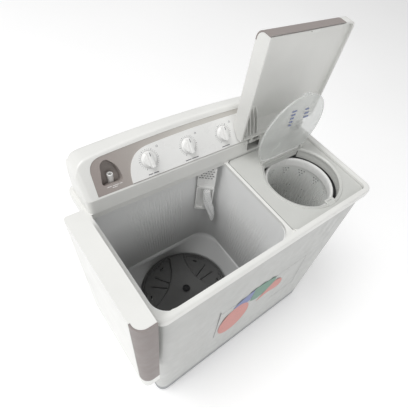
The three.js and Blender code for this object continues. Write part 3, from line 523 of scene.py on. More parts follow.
# The tub and the basket carry painted shade that darkens them towards their floors.
TUB_WHITE = moulded("tub_white", (0.82, 0.825, 0.82), 0.38, grain=1400, painted_shade=(RIM_Z - 330, RIM_Z - 130, 0.5))
BASKET_GREY = moulded("basket_grey", (0.84, 0.85, 0.83), 0.42, grain=1400, painted_shade=(RIM_Z - 300, RIM_Z - 80, 0.72))
# The outer tub is white plastic; this dark grey is painted shade for the gloom round the basket.
OUTER_TUB_PAINTED_SHADE = moulded("outer_tub_painted_shade", (0.2, 0.205, 0.21), 0.5)
# Both taupes carry a painted reflection that lightens them along x.
TAUPE = pearl_with_painted_sheen("pearl_taupe", (0.285, 0.25, 0.24), (0.33, 0.292, 0.278), -60, 500)
FASCIA_TAUPE = pearl_with_painted_sheen("fascia_taupe", (0.36, 0.315, 0.295), (0.62, 0.60, 0.56), 60, 330)
CHARCOAL = moulded("charcoal_plastic", (0.05, 0.05, 0.049), 0.4, grain=1100, depth=0.5, variation=0.12)
BLACK = moulded("black_plastic", (0.012, 0.012, 0.013), 0.4, variation=0.1, shine=0.15)
GREY = moulded("grey_plastic", (0.3, 0.31, 0.32), 0.45, depth=0.4)
CLEAR = clear_plastic("clear_plastic")
STEEL = metal("zinc_steel", (0.62, 0.62, 0.64), 0.36)
CASTING = metal("motor_casting", (0.33, 0.35, 0.36), 0.5, (1, 1, 1))
RUBBER = rubber("black_rubber", (0.018, 0.018, 0.019))
NET = net("lint_net")
INK_GREY = ink("ink_grey", (0.16, 0.16, 0.17))
INK_LIGHT = ink("ink_light", (0.82, 0.8, 0.79))
INK_BLUE = ink("ink_blue", (0.17, 0.21, 0.42))
INK_GREEN = ink("ink_green", (0.13, 0.27, 0.2))
INK_RED = ink("ink_red", (0.6, 0.24, 0.21))
SLOT_MATERIALS = {
    "white_body": WHITE, "panel_white": PANEL_WHITE, "tub_white": TUB_WHITE, "taupe_trim": TAUPE,
    "pulsator_charcoal": CHARCOAL, "black_plastic": BLACK, "clear_plastic": CLEAR, "grey_plastic": GREY,
    "steel": STEEL, "motor_casting": CASTING, "black_rubber": RUBBER, "lint_mesh": NET,
}


# ---- casing ----
def flutes(x, z):
    """How far the front panel's shallow upright flutes stand out at (x, z)."""
    wave = 0.5 + 0.5 * np.cos(2 * math.pi * (x + 14 * np.sin(z / 170)) / 47)
    inside = smooth((x - 60) / 60) * smooth((WIDTH - 60 - x) / 60)
    upright = smooth((z - CASE_BOTTOM - 12) / 50) * smooth((CASE_TOP - 40 - z) / 70)
    return 1.5 * wave * inside * upright


def case_ring(z, inset, relief=False):
    low, high, radius = INSET + inset, WIDTH - INSET - inset, 32 - inset
    y0, y1 = INSET + inset, DEPTH - 6 - inset
    front = [(x, y0) for x in np.linspace(low + radius, high - radius, 260)][:-1]
    points = np.array(front + rounded_rect(low, high, y0, y1, radius))
    if relief:
        points[:len(front), 1] -= flutes(points[:len(front), 0], z)
    return np.column_stack([points, np.full(len(points), z)])


def cabinet():
    levels = np.linspace(CASE_BOTTOM, CASE_TOP, 64)
    rings = [case_ring(z, 0, True) for z in levels] + [case_ring(z, WALL) for z in levels[::-63]]
    shell = loft("cabinet", rings, closed=True)
    low, high = span("back_cover")
    edge = 14
    window = slab_y("window", rounded_rect(low.x + edge, high.x - edge, low.z + edge, high.z - edge, 8),
                    DEPTH - 30, DEPTH)
    shell = cut(shell, window)
    # The cabinet wears the darker white, as painted shade on its upright faces.
    piece(shell, "cabinet_shell", "machine", CASE_WHITE_PAINTED_SHADE, ["cabinet"])


def back_cover():
    low, high = span("back_cover")
    plate = slab_y("plate", rounded_rect(low.x, high.x, low.z, high.z, 12), low.y, high.y)
    rib = slab_y("rib", rounded_rect(low.x + 26, high.x - 26, low.z + 200, high.z - 26, 20), high.y - 1, high.y + 1.2)
    inner = slab_y("inner", rounded_rect(low.x + 34, high.x - 34, low.z + 208, high.z - 34, 14),
                   high.y - 0.1, high.y + 9)
    plate = join(plate, cut(rib, inner))
    vents = [slab_y("vent", rounded_rect(480, 640, low.z + 74 + i * 16, low.z + 80 + i * 16, 2.9, 6),
                    low.y - 5, high.y + 8) for i in range(8)]
    pipe_hole = slab_y("hole", arc(130, 150, 15, 0, 360, 48)[:-1], low.y - 5, high.y + 8)
    gland = middle("cord_gland")
    gland_hole = slab_y("hole", arc(gland.x, gland.z, 9, 0, 360, 48)[:-1], low.y - 5, high.y + 8)
    plate = soften(cut(plate, *vents, pipe_hole, gland_hole), 0.7)
    piece(plate, "back_cover_plate", "machine", WHITE, ["back_cover"])
    screws("back_screw", [(x, z) for x in (low.x + 8, (low.x + high.x) / 2, high.x - 8)
                          for z in (low.z + 8, high.z - 8)], high.y)


def screws(name, places, y):
    """Pan-head screws with a cross recess in a wall that faces back."""
    for number, (x, z) in enumerate(places, 1):
        place = MACHINE @ Matrix.Translation((x, y, z)) @ turn(-math.pi / 2, "X")
        head = turned("head", [(0, -1.5), (2, -1.5), (2, 0.05), (4.2, 0.05), (4.2, 0.9), (3.4, 2), (1.8, 2.6), (0, 2.8)],
                      place, 32)
        head = cut(head, block("a", -2.4, 2.4, -0.5, 0.5, 1.4, 4, place), block("b", -0.5, 0.5, -2.4, 2.4, 1.4, 4, place))
        piece(head, f"{name}_{number}", "machine", STEEL)


def rim_ring(profile):
    """A ring that follows the rim's outline, from (distance in from the edge, height) pairs."""
    rings = []
    for inset, z in profile:
        points = rounded_rect(inset, WIDTH - inset, inset, DEPTH - inset, 30 - inset, 16)
        rings.append([(x, y, z) for x, y in points])
    return loft("rim", rings, closed=True)


def top_frame():
    w = WASH
    top, step = RIM_Z, RIM_Z - 26
    edge = [(14, top)] + [(7 - 7 * math.sin(a), top - 7 + 7 * math.cos(a)) for a in np.linspace(0, math.pi / 2, 9)]
    edge += [(0, step + 2.5), (0.8, step + 0.6), (2.6, step), (5.2, step - 0.4), (5.2, step - 2.6), (2.6, step - 2.8),
             (1.8, step - 3.6), (1.6, step - 4.6), (2.2, step - 6.6), (3.8, step - 8), (6, step - 8), (6, top - 18),
             (14, top - 18)]
    rim = rim_ring(edge)
    plate = slab("plate", rounded_rect(10, WIDTH - 10, 10, DEPTH - 10, 20), top - 18, top)
    well = slab("well", rounded_rect(440, 776, 17, BAND_Y + 1, 14), DECK_Z - 4 - GAP, top + 9)
    strip = block("strip", w["x0"] - 5, 441, 17, BAND_Y + 1, DECK_Z, top + 9)
    rear = block("rear", w["x0"], 776, 60, BAND_Y + 1, DECK_Z, top + 9)
    basket = rod("basket", 139, top - 40, top + 9, about(SPIN.x, SPIN.y), 128)
    body = join(rim, cut(plate, well, strip, rear, basket))
    radii = (w["front"], w["rear"], w["rear"], w["front"])
    opening = slab("opening", rounded_rect(w["x0"], w["x1"], w["y0"] - 3, w["y1"], radii, 20), top - 40, top + 9)
    body = soften(cut(body, opening), 1.6, 3)
    piece(body, "top_rim", "machine", WHITE, ["top_frame"])


# ---- wash side ----
def reach(points, angles, centre):
    """How far an outline lies from centre at each angle."""
    shifted = np.array(points) - centre
    bearing = np.arctan2(shifted[:, 1], shifted[:, 0])
    order = np.argsort(bearing)
    return np.interp(angles, bearing[order], np.hypot(*shifted[order].T), period=2 * math.pi)


def dense(points, gap=1.0):
    """The outline with points at most gap apart."""
    result = []
    for a, b in zip(points, points[1:] + points[:1]):
        count = max(1, int(math.dist(a, b) / gap))
        result += [(a[0] + (b[0] - a[0]) * i / count, a[1] + (b[1] - a[1]) * i / count) for i in range(count)]
    return result


def rounded_rings(corners, reach_mm, steps=5):
    """Rings of (radius, height) with each inner corner rounded over reach_mm."""
    rings = [corners[0]]
    for before, at, after in zip(corners, corners[1:], corners[2:]):
        toward = before - at
        away = after - at
        length_in = np.linalg.norm(toward, axis=0)
        length_out = np.linalg.norm(away, axis=0)
        start = at + toward * np.minimum(reach_mm / length_in, 0.45)
        end = at + away * np.minimum(reach_mm / length_out, 0.45)
        for t in np.linspace(0, 1, steps + 1):
            rings.append((1 - t) ** 2 * start + 2 * t * (1 - t) * at + t * t * end)
    rings.append(corners[-1])
    return rings


def wash_tub():
    centre = np.array([PULSATOR.x, PULSATOR.y])
    angles = np.linspace(-math.pi, math.pi, 1080, endpoint=False)
    top = RIM_Z - 18 - GAP
    ledge = RIM_Z - 335
    floor = RIM_Z - 398
    well = PULSATOR_R + 3.5

    def ring(x0, x1, y0, y1, radius, z):
        far = reach(dense(rounded_rect(x0, x1, y0, y1, radius)), angles, centre)
        return np.stack([far, np.full(len(angles), float(z))])

    def circle(radius, z):
        return np.stack([np.full(len(angles), float(radius)), np.full(len(angles), float(z))])

    top_radii = (WASH["front"], 34, 34, WASH["front"])
    corners = [ring(18, WASH["x1"], WASH["y0"], WASH["rear_wall"], top_radii, top), ring(27, 401, 23, 333, 66, ledge + 5),
               ring(28.5, 399.5, 24, 332, 68, ledge), ring(32.5, 395.5, 27, 328, 72, ledge - 0.5),
               ring(37, 391, 31, 323.5, 78, ledge - 6),
               circle(well + 1.5, PULSATOR_Z - 1), circle(well, floor + 6), circle(well - 8, floor), circle(20.5, floor)]
    inner = rounded_rings(corners, 3.5)
    levels = [inner[0] + (inner[1] - inner[0]) * t for t in np.linspace(0, 1, 24)]
    wall_top = inner[0][0]
    across = centre[0] + wall_top * np.cos(angles)
    along = centre[1] + wall_top * np.sin(angles)
    rear = smooth((along - WASH["rear_wall"] + 6) / 4) * smooth((across - 96) / 30) * smooth((330 - across) / 40)
    right = smooth((across - 422) / 4) * smooth((along - 60) / 30) * smooth((268 - along) / 30)
    front = smooth((24 - along) / 4) * smooth((across - 96) / 30) * smooth((350 - across) / 30)
    ribs = (rear + front) * (0.5 + 0.5 * np.cos(2 * math.pi * across / 10.5))
    ribs += right * (0.5 + 0.5 * np.cos(2 * math.pi * along / 10.5))
    skin = []
    for i, level in enumerate(levels + inner[2:]):
        fade = smooth((top - 46 - level[1]) / 60) * smooth((level[1] - ledge - 22) / 30) if i < len(levels) else 0
        skin.append(np.stack([level[0] - 1.9 * ribs * fade, level[1]]))
    outer = [c + np.array([[3.0], [0.0]]) for c in corners[:2]] + [c + np.array([[3.0], [-2.5]]) for c in corners[2:7]]
    outer += [circle(well - 6, floor - WALL), circle(20.5, floor - WALL)]
    rings = skin + outer[::-1]
    rings = [np.column_stack([centre[0] + r * np.cos(angles), centre[1] + r * np.sin(angles), z]) for r, z in rings]
    tub = loft("tub", rings, closed=True)
    drain = middle("drain_plug")
    tub = cut(tub, rod("drain", 16, floor - 20, floor + 20, about(drain.x, drain.y)))
    piece(tub, "wash_tub_shell", "machine", TUB_WHITE, ["wash_tub"])
    corner = MACHINE @ Matrix.Translation((18, 343, top - 4)) @ turn(math.pi / 2, "Y")
    rivet = turned("rivet", [(0, -1), (3.4, -1), (3.4, 1), (2.6, 1.8), (0, 2)], corner, 24)
    piece(rivet, "tub_corner_screw", "machine", BLACK)


LOBES = [0.22 + k * 2 * math.pi / 3 for k in range(3)]


def pulsator_height(x, y):
    """Top of the pulsator above its rim line: three arms that taper outwards, and a pair of fins in each lobe."""
    r = np.hypot(x, y)
    arm = np.ones_like(r)
    fin = np.zeros_like(r)
    for bearing in LOBES:
        forward = x * math.cos(bearing) + y * math.sin(bearing)
        aside = -x * math.sin(bearing) + y * math.cos(bearing)
        arm = np.minimum(arm, smooth((60 + 0.003 * aside ** 2 - forward) / 4))
        for tilt in (-0.16, 0.16):
            b = bearing + tilt
            f = x * math.cos(b) + y * math.sin(b)
            a = np.abs(-x * math.sin(b) + y * math.cos(b))
            fin = np.maximum(fin, smooth((2.6 - a) / 1.6) * smooth((f - 62) / 4) * smooth((120 - f) / 12))
    bowl = 3 + 7 * np.sin(math.pi * np.clip(r / PULSATOR_R, 0, 1) * 0.5 + 0.4)
    lip = smooth((r - 138) / 3) * smooth((146.5 - r) / 3)
    height = arm * (bowl + 1.5) + (1 - arm) * (0.3 + 5.5 * fin)
    edge = smooth((146 - r) / 3)
    return np.maximum(height * smooth((139 - r) / 6) * edge, 3.2 * lip)


def pulsator():
    place = about(PULSATOR.x, PULSATOR.y)
    angles = np.linspace(0, 2 * math.pi, 420, endpoint=False)
    circle = np.column_stack([np.cos(angles), np.sin(angles)])
    under = [(8.5, -12), (15, -12), (15, -10), (140, -10), (144.5, -9), (146, -7), (146, -1)]
    rings = [np.column_stack([circle * r, np.full(len(angles), PULSATOR_Z + z)]) for r, z in under]
    for r in np.concatenate([np.linspace(145.6, 136, 9), np.linspace(134.5, 9.5, 96), [8.5]]):
        xy = circle * r
        rings.append(np.column_stack([xy, PULSATOR_Z + pulsator_height(xy[:, 0], xy[:, 1])]))
    disc = loft("disc", rings, place, closed=True)
    tools = []
    for bearing in LOBES:
        for side in (-1, 1):
            for k in range(6):
                tools.append(drain_slot(bearing + side * (0.34 + k * 0.083), 133, 2.0, 0, place))
            tools.append(drain_slot(bearing + side * 0.5, 117, 2.7, 5, place))
    disc = cut(disc, merged(tools))
    piece(disc, "pulsator_disc", "pulsator_rotor", CHARCOAL, ["pulsator"])
    z = span("pulsator_cap")[0].z
    cap = turned("cap", [(0, z), (12, z), (12, z + 2.6), (11.2, z + 3.8), (9.8, z + 3.8), (8.6, z + 1.4), (0, z + 1)],
                 place, 48)
    piece(cap, "pulsator_cap_dish", "pulsator_rotor", BLACK, ["pulsator_cap"])


def drain_slot(bearing, distance, radius, half_run, place):
    """A cutter for one round or long hole in the pulsator, its length across the ray at bearing."""
    x, y = distance * math.cos(bearing), distance * math.sin(bearing)
    along = bearing + math.pi / 2
    dx, dy = half_run * math.cos(along), half_run * math.sin(along)
    lean = math.degrees(along)
    points = arc(x + dx, y + dy, radius, lean - 90, lean + 90, 8) + arc(x - dx, y - dy, radius, lean + 90, lean + 270, 8)
    if not half_run:
        points = arc(x, y, radius, 0, 360, 16)[:-1]
    return slab("hole", points, PULSATOR_Z - 30, PULSATOR_Z + 30, place)


# ---- lint filter ----
def lint_filter():
    half, split, low = FILTER["half"], FILTER["split"], FILTER["low"]
    cover = slab_y("cover", rounded_rect(-half, half, -split, 0, 3, 4), 0, 5, FILTER_FACE)
    slots = []
    for row in range(5):
        shift = 4.6 if row % 2 else 0
        for i in range(6):
            x = -half + 3.6 + i * 9.2 + shift
            if x + 6.4 < half - 2:
                z = -42 + row * 9
                slots.append(slab_y("slot", rounded_rect(x, x + 6.4, z, z + 4.2, 1.6, 4), -3, 3.6, FILTER_FACE))
    cover = soften(cut(cover, merged(slots)), 0.5)
    piece(cover, "filter_grille", "machine", PANEL_WHITE, ["filter_cover"])
    back = slab_y("back", rounded_rect(-half + 3, half - 3, -44, -1, 2, 4), 3.4, 3.7, FILTER_FACE)
    piece(back, "filter_grille_shadow", "machine", BLACK)
    top = -split - GAP
    holder = slab_y("holder", rounded_rect(-half, half, -low, top, 5, 6), -3, 5, FILTER_FACE)
    windows = [slab_y("window", rounded_rect(x0, x1, 8 - low, top - 8, 3, 5), -6, 3.5, FILTER_FACE)
               for x0, x1 in ((-half + 5, -3), (4, half - 5))]
    holder = soften(cut(holder, *windows), 0.8, 3)
    piece(holder, "lint_holder", "lint_filter", PANEL_WHITE, ["lint_frame"])
    lint_bag(top - 4)


def lint_bag(top):
    """A soft tapering net bag: its mouth on the frame, folds that deepen downwards, and a sewn tip."""
    place = FILTER_FACE @ Matrix.Translation((4, -14, top)) @ turn(math.radians(-13), "Y")
    angles = np.linspace(0, 2 * math.pi, 72, endpoint=False)
    profile = [(0, 9.0), (8, 11.5), (32, 12.8), (75, 11.8), (104, 9.6), (124, 6.5), (136, 3.5), (140, 1.2)]
    depths = np.linspace(0, 140, 100)
    radii = np.interp(depths, [d for d, _ in profile], [r for _, r in profile])
    rings = []
    for d, radius in zip(depths, radii):
        depth = smooth(d / 60) * 0.17 + 0.02
        fold = 1 + depth * np.sin(5 * angles - d / 17) + 0.05 * np.sin(9 * angles + d / 9)
        sway = -2.2 * math.sin(d / 24)
        rings.append(np.column_stack([radius * fold * np.cos(angles) + sway, 0.75 * radius * fold * np.sin(angles),
                                      np.full(72, -d)]))
    bag = loft("bag", rings, place)
    piece(bag, "lint_net_bag", "lint_filter", NET, ["lint_bag"], crease=80)
    points = [(10.2 * math.cos(a), 7.6 * math.sin(a), -2) for a in np.linspace(0, 2 * math.pi, 48, endpoint=False)]
    hem = pipe("hem", points, 1.1, place, 10, ring=True)
    piece(hem, "lint_bag_hem", "lint_filter", PANEL_WHITE)


# ---- spin side ----
def spin_deck():
    """The deck: an opening with a straight rear edge under the inner lid's hinge, a low ring and a catch tongue."""
    edge = outline_of_deck(2.2)
    deck = slab("deck", edge, DECK_Z - 4, DECK_Z)
    deck = cut(deck, rod("hole", SPIN_HOLE + 1, 0, RIM_Z + 50, about(SPIN.x, SPIN.y), 160))
    profile = [(SPIN_HOLE + 4, DECK_Z - 34), (SPIN_HOLE + 7, DECK_Z - 34), (SPIN_HOLE + 7, DECK_Z - 3),
               (SPIN_RING + 2.5, DECK_Z - 1), (SPIN_RING + 0.6, DECK_Z + 0.4), (SPIN_RING + 0.2, DECK_Z + 2.4),
               (SPIN_RING - 0.8, DECK_Z + 3.6), (SPIN_RING - 2, DECK_Z + 4), (SPIN_RING - 3.6, DECK_Z + 3.2),
               (SPIN_HOLE + 2.4, DECK_Z - 1), (SPIN_HOLE + 1, DECK_Z - 3), (SPIN_HOLE + 1, DECK_Z - 5),
               (SPIN_HOLE + 3.4, DECK_Z - 8), (SPIN_HOLE + 4, DECK_Z - 34)]
    ring = turned("ring", profile, about(SPIN.x, SPIN.y), 160)

    def behind():
        return block("behind", 440, 776, SPIN_CHORD, BAND_Y + 20, DECK_Z - 60, RIM_Z + 60)

    bridge = common(rod("bridge", SPIN_RING, DECK_Z - 4, DECK_Z, about(SPIN.x, SPIN.y), 160), behind())
    lip = common(rod("lip", SPIN_HOLE + 0.5, DECK_Z - 20, DECK_Z, about(SPIN.x, SPIN.y), 160),
                 block("edge", 440, 776, SPIN_CHORD, SPIN_CHORD + 3.5, DECK_Z - 60, RIM_Z))
    front = SPIN.y - SPIN_HOLE
    notch = slab("notch", rounded_rect(SPIN.x - 16, SPIN.x + 16, front - 12, front + 5, 3, 5), DECK_Z + 1.2, RIM_Z + 9)
    deck = cut(join(deck, cut(ring, behind()), bridge, lip), notch)
    tongue = slab("tongue", rounded_rect(SPIN.x - 16, SPIN.x + 22, front - 4, front + 13, 5, 6), DECK_Z - 3, DECK_Z + 1)
    slot = slab("slot", rounded_rect(SPIN.x - 8, SPIN.x + 11, front + 3.4, front + 6.4, 1.3, 4), DECK_Z - 1.4, RIM_Z)
    deck = cut(join(deck, tongue), slot)
    low_z, pivot = DECK_Z - 3, SAFETY_PIVOT
    y0, y1 = pivot.y - 7.4, pivot.y + 7.4
    for x in (527, 708):
        side = outline((y0, low_z), (y1, low_z), (y1, pivot.z - 1), (y1, pivot.z + 4.5, pivot.y, pivot.z + 4.5),
                       (y0, pivot.z + 4.5, y0, pivot.z - 1), steps=8)
        deck = join(deck, slab_x("lug", side, x, x + 7))
    deck = cut(deck, bar_x("pin hole", 3.3, 524, 718, pivot.y, pivot.z))
    deck = soften(deck, 0.9, 3)
    # The deck wears the darker white, as painted shade from the lids.
    piece(deck, "spin_deck_plate", "machine", DECK_PAINTED_SHADE, ["spin_deck"])
    trough = slab("trough", outline_of_deck(0.4), DECK_Z - 3.9, DECK_Z - 3.4)
    trough = cut(trough, slab("inside", outline_of_deck(2.0), DECK_Z - 9, DECK_Z + 9))
    piece(trough, "deck_joint_shadow", "machine", BLACK)


def outline_of_deck(inset):
    """The deck's edge in plan, this far in from the rim that surrounds it."""
    return rounded_rect(440 + inset, 776 - inset, 17 + inset, BAND_Y + 1 - inset, 13)


def spin_tubs():
    place = about(SPIN.x, SPIN.y)
    low, high = span("spin_outer_tub")
    z0, z1 = low.z, high.z
    profile = [(30, z0), (128, z0), (138, z0 + 3), (146, z0 + 10), (149, z0 + 20), (149, z1), (146, z1),
               (146, z0 + 21), (143, z0 + 13), (136, z0 + 6), (127, z0 + WALL), (30, z0 + WALL), (30, z0)]
    outer = turned("outer", profile, place, 160)
    # The outer tub wears dark grey as painted shade.
    piece(outer, "spin_outer_tub_shell", "machine", OUTER_TUB_PAINTED_SHADE, ["spin_outer_tub"])
    basket(place)
    z = span("balance_ring")[0].z
    section = [(108, 0), (117, 0), (118.6, 1.6), (119, 4), (119, 21), (118.7, 25), (117.6, 28.6), (115.6, 31),
               (112.8, 32), (110, 31.2), (107.8, 28.6), (106.8, 24), (106.5, 18), (106.5, 5), (107, 2), (107.4, 0.6),
               (108, 0)]
    ring = turned("ring", [(r, z + h) for r, h in section], place, 160)
    piece(ring, "balance_ring_smooth", "spin_rotor", PANEL_WHITE, ["balance_ring"])


def basket(place):
    """The perforated basket: upright ribs inside its wall, drain holes in groups, and a raised floor cone."""
    floor = span("spin_basket")[0].z + 2
    top = span("spin_basket")[1].z
    angles = np.linspace(0, 2 * math.pi, 864, endpoint=False)
    ribs = (0.5 + 0.5 * np.cos(72 * angles)) ** 1.5
    inner = [(115.2, top, 0), (114.9, top - 10, 0), (114.6, top - 26, 0), (114.4, top - 44, 1.6),
             (113.6, (floor + top) / 2, 2.6), (112.7, floor + 30, 2.6), (112.4, floor + 17, 0), (111, floor + 9, 0),
             (108, floor + 3.5, 0), (103, floor, 0), (60, floor, 0), (38, floor, 0), (33.5, floor + 2, 0),
             (29, floor + 22, 0), (26, floor + 28, 0), (20, floor + 31, 0), (9.5, floor + 32, 0), (9.5, floor + 18, 0)]
    outer = [(9.5, floor - 2, 0), (105, floor - 2, 0), (111.5, floor + 1, 0), (115, floor + 9, 0), (117.5, top, 0)]
    rings = []
    for r, z, rib in inner + outer:
        far = r - rib * ribs
        rings.append(np.column_stack([far * np.cos(angles), far * np.sin(angles), np.full(864, z)]))
    shell = loft("basket", rings, place, closed=True)
    tools = []
    for group in range(12):
        for row, count in enumerate((3, 2, 1)):
            for column in range(count):
                bearing = math.radians(group * 30 + 2.5 + (column - (count - 1) / 2) * 5)
                tools.append(hole_through(bearing, top - 18 - row * 11, 2.9, place))
        for row in range(5):
            for column in range(2):
                bearing = math.radians(group * 30 + 15 + (column - 0.5) * 5)
                tools.append(hole_through(bearing, floor + 46 + row * 38, 2.6, place))
    shell = cut(shell, merged(tools))
    piece(shell, "spin_basket_wall", "spin_rotor", BASKET_GREY, ["spin_basket"])


def hole_through(bearing, z, radius, place):
    """A cutter that goes out through the basket's wall."""
    across = place @ turn(bearing, "Z")
    return slab_x("hole", [(y, z + h) for y, h in arc(0, 0, radius, 0, 360, 12)[:-1]], 104, 124, across)


def safety_lid():
    """The round see-through inner lid, with a bead round its rim, a shallow dome, a tab and a hinge barrel."""
    place = SAFETY_SHUT
    cy = 172 - SAFETY_PIVOT.y
    profile = [(0, 1.9), (60, 1.6), (96, 0.6), (104, -0.4), (118, -0.6), (123.5, 0.4), (126, 2.2), (128, 2.6),
               (129.6, 1.6), (130, -0.4), (129.4, -3.2), (127.6, -4), (126, -3.2), (125.4, -1.8), (122, -2.4),
               (104, -2.2), (95, -1.2), (60, -0.2), (0, 0.1)]
    disc = turned("disc", profile, about(0, cy, 0, place), 160)
    disc = cut(disc, block("behind", -200, 200, -9, 100, -20, 20, place))
    tongue = slab("tongue", rounded_rect(-62, 62, -16, 1, 3, 5), -1.4, 1.2, place)
    barrel = bar_x("barrel", 4, -80, 80, 0, 0, place)
    pins = bar_x("pins", 2.7, -92, 92, 0, 0, place)
    tab = slab("tab", rounded_rect(-15, 15, cy - 134, cy - 122, 5, 8), -1.2, 2.2, place)
    lid = join(disc, tongue, barrel, pins, tab)
    ridge = turned("ridge", [(84, 0.2), (86, 0.2), (86, 2.6), (84, 2.6), (84, 0.2)], about(0, cy, 0, place), 128)
    ridge = cut(ridge, block("low", -200, 200, cy - 30, 200, -20, 20, place))
    lid = soften(join(lid, ridge), 0.5)
    piece(lid, "safety_lid_clear", "safety_lid_body", CLEAR, ["safety_lid"])
    safety_marks(place, cy)


def safety_marks(place, cy):
    """Generic printed marks on the inner lid's underside: short bars in two columns, with no lettering."""
    bars = [(-38 + 2 * k, cy - 84 + 13 * k, 20 - 2 * k) for k in range(5)]
    bars += [(22 + 4 * k, cy - 76 + 16 * k, 16 + 3 * k) for k in range(3)]
    solids = [slab("bar", rounded_rect(x, x + run, y, y + 5, 1.6, 4), -1.75, -1.35, place) for x, y, run in bars]
    piece(merged(solids), "safety_lid_marks", "safety_lid_body", INK_BLUE)


# ---- console ----
def bend(corners, radii, steps):
    """A path through corners, each rounded with its own radius; a radius of 0 keeps the corner."""
    points = [Vector(corners[0])]
    for before, at, after, radius in zip(corners, corners[1:], corners[2:], radii):
        at = Vector(at)
        toward = (Vector(before) - at).normalized()
        away = (Vector(after) - at).normalized()
        half = math.acos(max(-1.0, min(1.0, toward.dot(away)))) / 2
        run = radius / math.tan(half)
        start, end = at + toward * run, at + away * run
        for i in range(steps + 1):
            t = i / steps
            points.append((1 - t) ** 2 * start + 2 * t * (1 - t) * at + t * t * end)
    points.append(Vector(corners[-1]))
    return points


def console_height(x):
    """Height of the console's top: a low arch that falls away in a quarter turn at each end."""
    low, edge = CONSOLE_TOP - 18, 40
    end = min(x, WIDTH - x) - CONSOLE_X
    if end >= edge:
        t = (end - edge) / (WIDTH - 2 * CONSOLE_X - 2 * edge)
        return low + 2 * 35 * t * (1 - t)
    t = (-4 + math.sqrt(16 + 4 * 36 * max(0, end))) / 72
    return (low - 40) * (1 - t) ** 2 + 2 * (low - 5) * t * (1 - t) + low * t * t


def pull_in(end, radius):
    """How far a plan corner of this radius has drawn the wall in, this far from the end."""
    return radius - math.sqrt(max(0, radius ** 2 - (radius - end) ** 2)) if end < radius else 0


def console_section(x, inset, foot):
    end = min(x, WIDTH - x) - CONSOLE_X
    pull, rear_pull = pull_in(end, 14), pull_in(end, 30)
    top = console_height(x) - inset
    slide = inset / math.sin(FASCIA_SLOPE) + pull
    crest = FASCIA_Y + (top - FASCIA_Z) / math.tan(FASCIA_SLOPE) + slide
    front = BAND_Y + inset + pull
    edge = FASCIA_Y + inset + pull * 0.9
    back = CONSOLE_BACK - inset - rear_pull
    crest = min(crest, back - 24)
    corners = [(front, foot), (edge, FASCIA_Z - 1), (crest, top), (back, top - 9), (back, foot)]
    radii = (2.5, 11, 24 if rear_pull < 8 else 10)
    return [(x, p.x, p.y) for p in bend(corners, radii, 8)]


def console_skin(inset, foot):
    curve = [CONSOLE_X + 30 * (1 - math.cos(a)) for a in np.linspace(0.02, math.pi / 2, 16)]
    stations = curve + list(np.linspace(CONSOLE_X + 34, WIDTH / 2, 24))
    stations += [WIDTH - x for x in reversed(stations[:-1])]
    scale = (WIDTH / 2 - CONSOLE_X - inset) / (WIDTH / 2 - CONSOLE_X)
    rings = []
    for x in stations:
        across = WIDTH / 2 + (x - WIDTH / 2) * scale
        rings.append([(across, y, z) for _, y, z in console_section(x, inset, foot)])
    return loft("console", rings)


PANEL_LEFT, PANEL_RIGHT, PANEL_LOW = 43, 757, 4


def panel_outline(grow=0.0):
    """The taupe panel: a tall rounded left end and a long arched top edge."""
    left, right, low = PANEL_LEFT - grow, PANEL_RIGHT + grow, PANEL_LOW - grow
    return outline((left, low), (right, low), (right - 4, 60), (right - 7, 91 + grow, right - 40, 94 + grow),
                   (WIDTH / 2, 118 + grow, left + 40, 94 + grow), (left + 7, 91 + grow, left + 4, 60))


def knob_outline():
    """The white panel under the dials: a large round left end."""
    right = PANEL_RIGHT - 14
    return outline((133, 6), (right, 6), (right - 4, 66), (right - 6, 83, right - 30, 86),
                   (WIDTH / 2, 99, 200, 86), (137, 79, 133, 6))


POCKET_DEPTH = 36
NOZZLE = {"x": 91, "v": 28.5, "depth": 26, "height": 24}


def pocket_outline(grow):
    """The water inlet's recess: an arch that leans to the left."""
    return outline((69 - grow, 25 - grow), (109 + grow, 23 - grow), (115 + grow, 24, 115 + grow, 34),
                   (115 + grow, 62, 101 + grow, 75 + grow), (94, 85 + grow, 86, 83 + grow),
                   (71 - grow, 80 + grow, 70 - grow, 60), (64 - grow, 40, 63 - grow, 32), (63 - grow, 25, 69 - grow, 25 - grow))


def console():
    shell = console_skin(0, RIM_Z + GAP)
    window = slab("window", panel_outline(GAP), -14, 14, FASCIA)
    back = block("back", 52, WIDTH - 52, CONSOLE_BACK - 12, CONSOLE_BACK + 5, RIM_Z + 10, RIM_Z + 84)
    shell = cut(shell, console_skin(WALL, RIM_Z - 20), window, back)
    tabs = [block("tab", x, x + 4, BAND_Y + 2, SPIN_PIVOT.y + 8, RIM_Z + 10, RIM_Z + 34) for x in (502, 640, 776)]
    slots = [slab_y("slot", rounded_rect(x, x + 54, RIM_Z + 3, FASCIA_Z + 8, 7), BAND_Y - 5, FASCIA_Y + 5)
             for x in (520, 716)]
    rod_hole = bar_x("rod", 3.3, 495, 784, SPIN_PIVOT.y, SPIN_PIVOT.z)
    shell = cut(join(shell, *tabs), rod_hole, *slots)
    piece(soften(shell, 0.8), "console_housing", "machine", WHITE, ["console_body"], crease=40)
    low, high = span("console_back")
    cover = soften(slab_y("cover", rounded_rect(low.x, high.x, low.z, high.z, 10), low.y, high.y), 0.8)
    piece(cover, "console_back_cover", "machine", WHITE, ["console_back"])
    screws("console_screw", [(x, z) for x in (low.x + 9, WIDTH / 2, high.x - 9) for z in (low.z + 8, high.z - 8)],
           high.y)


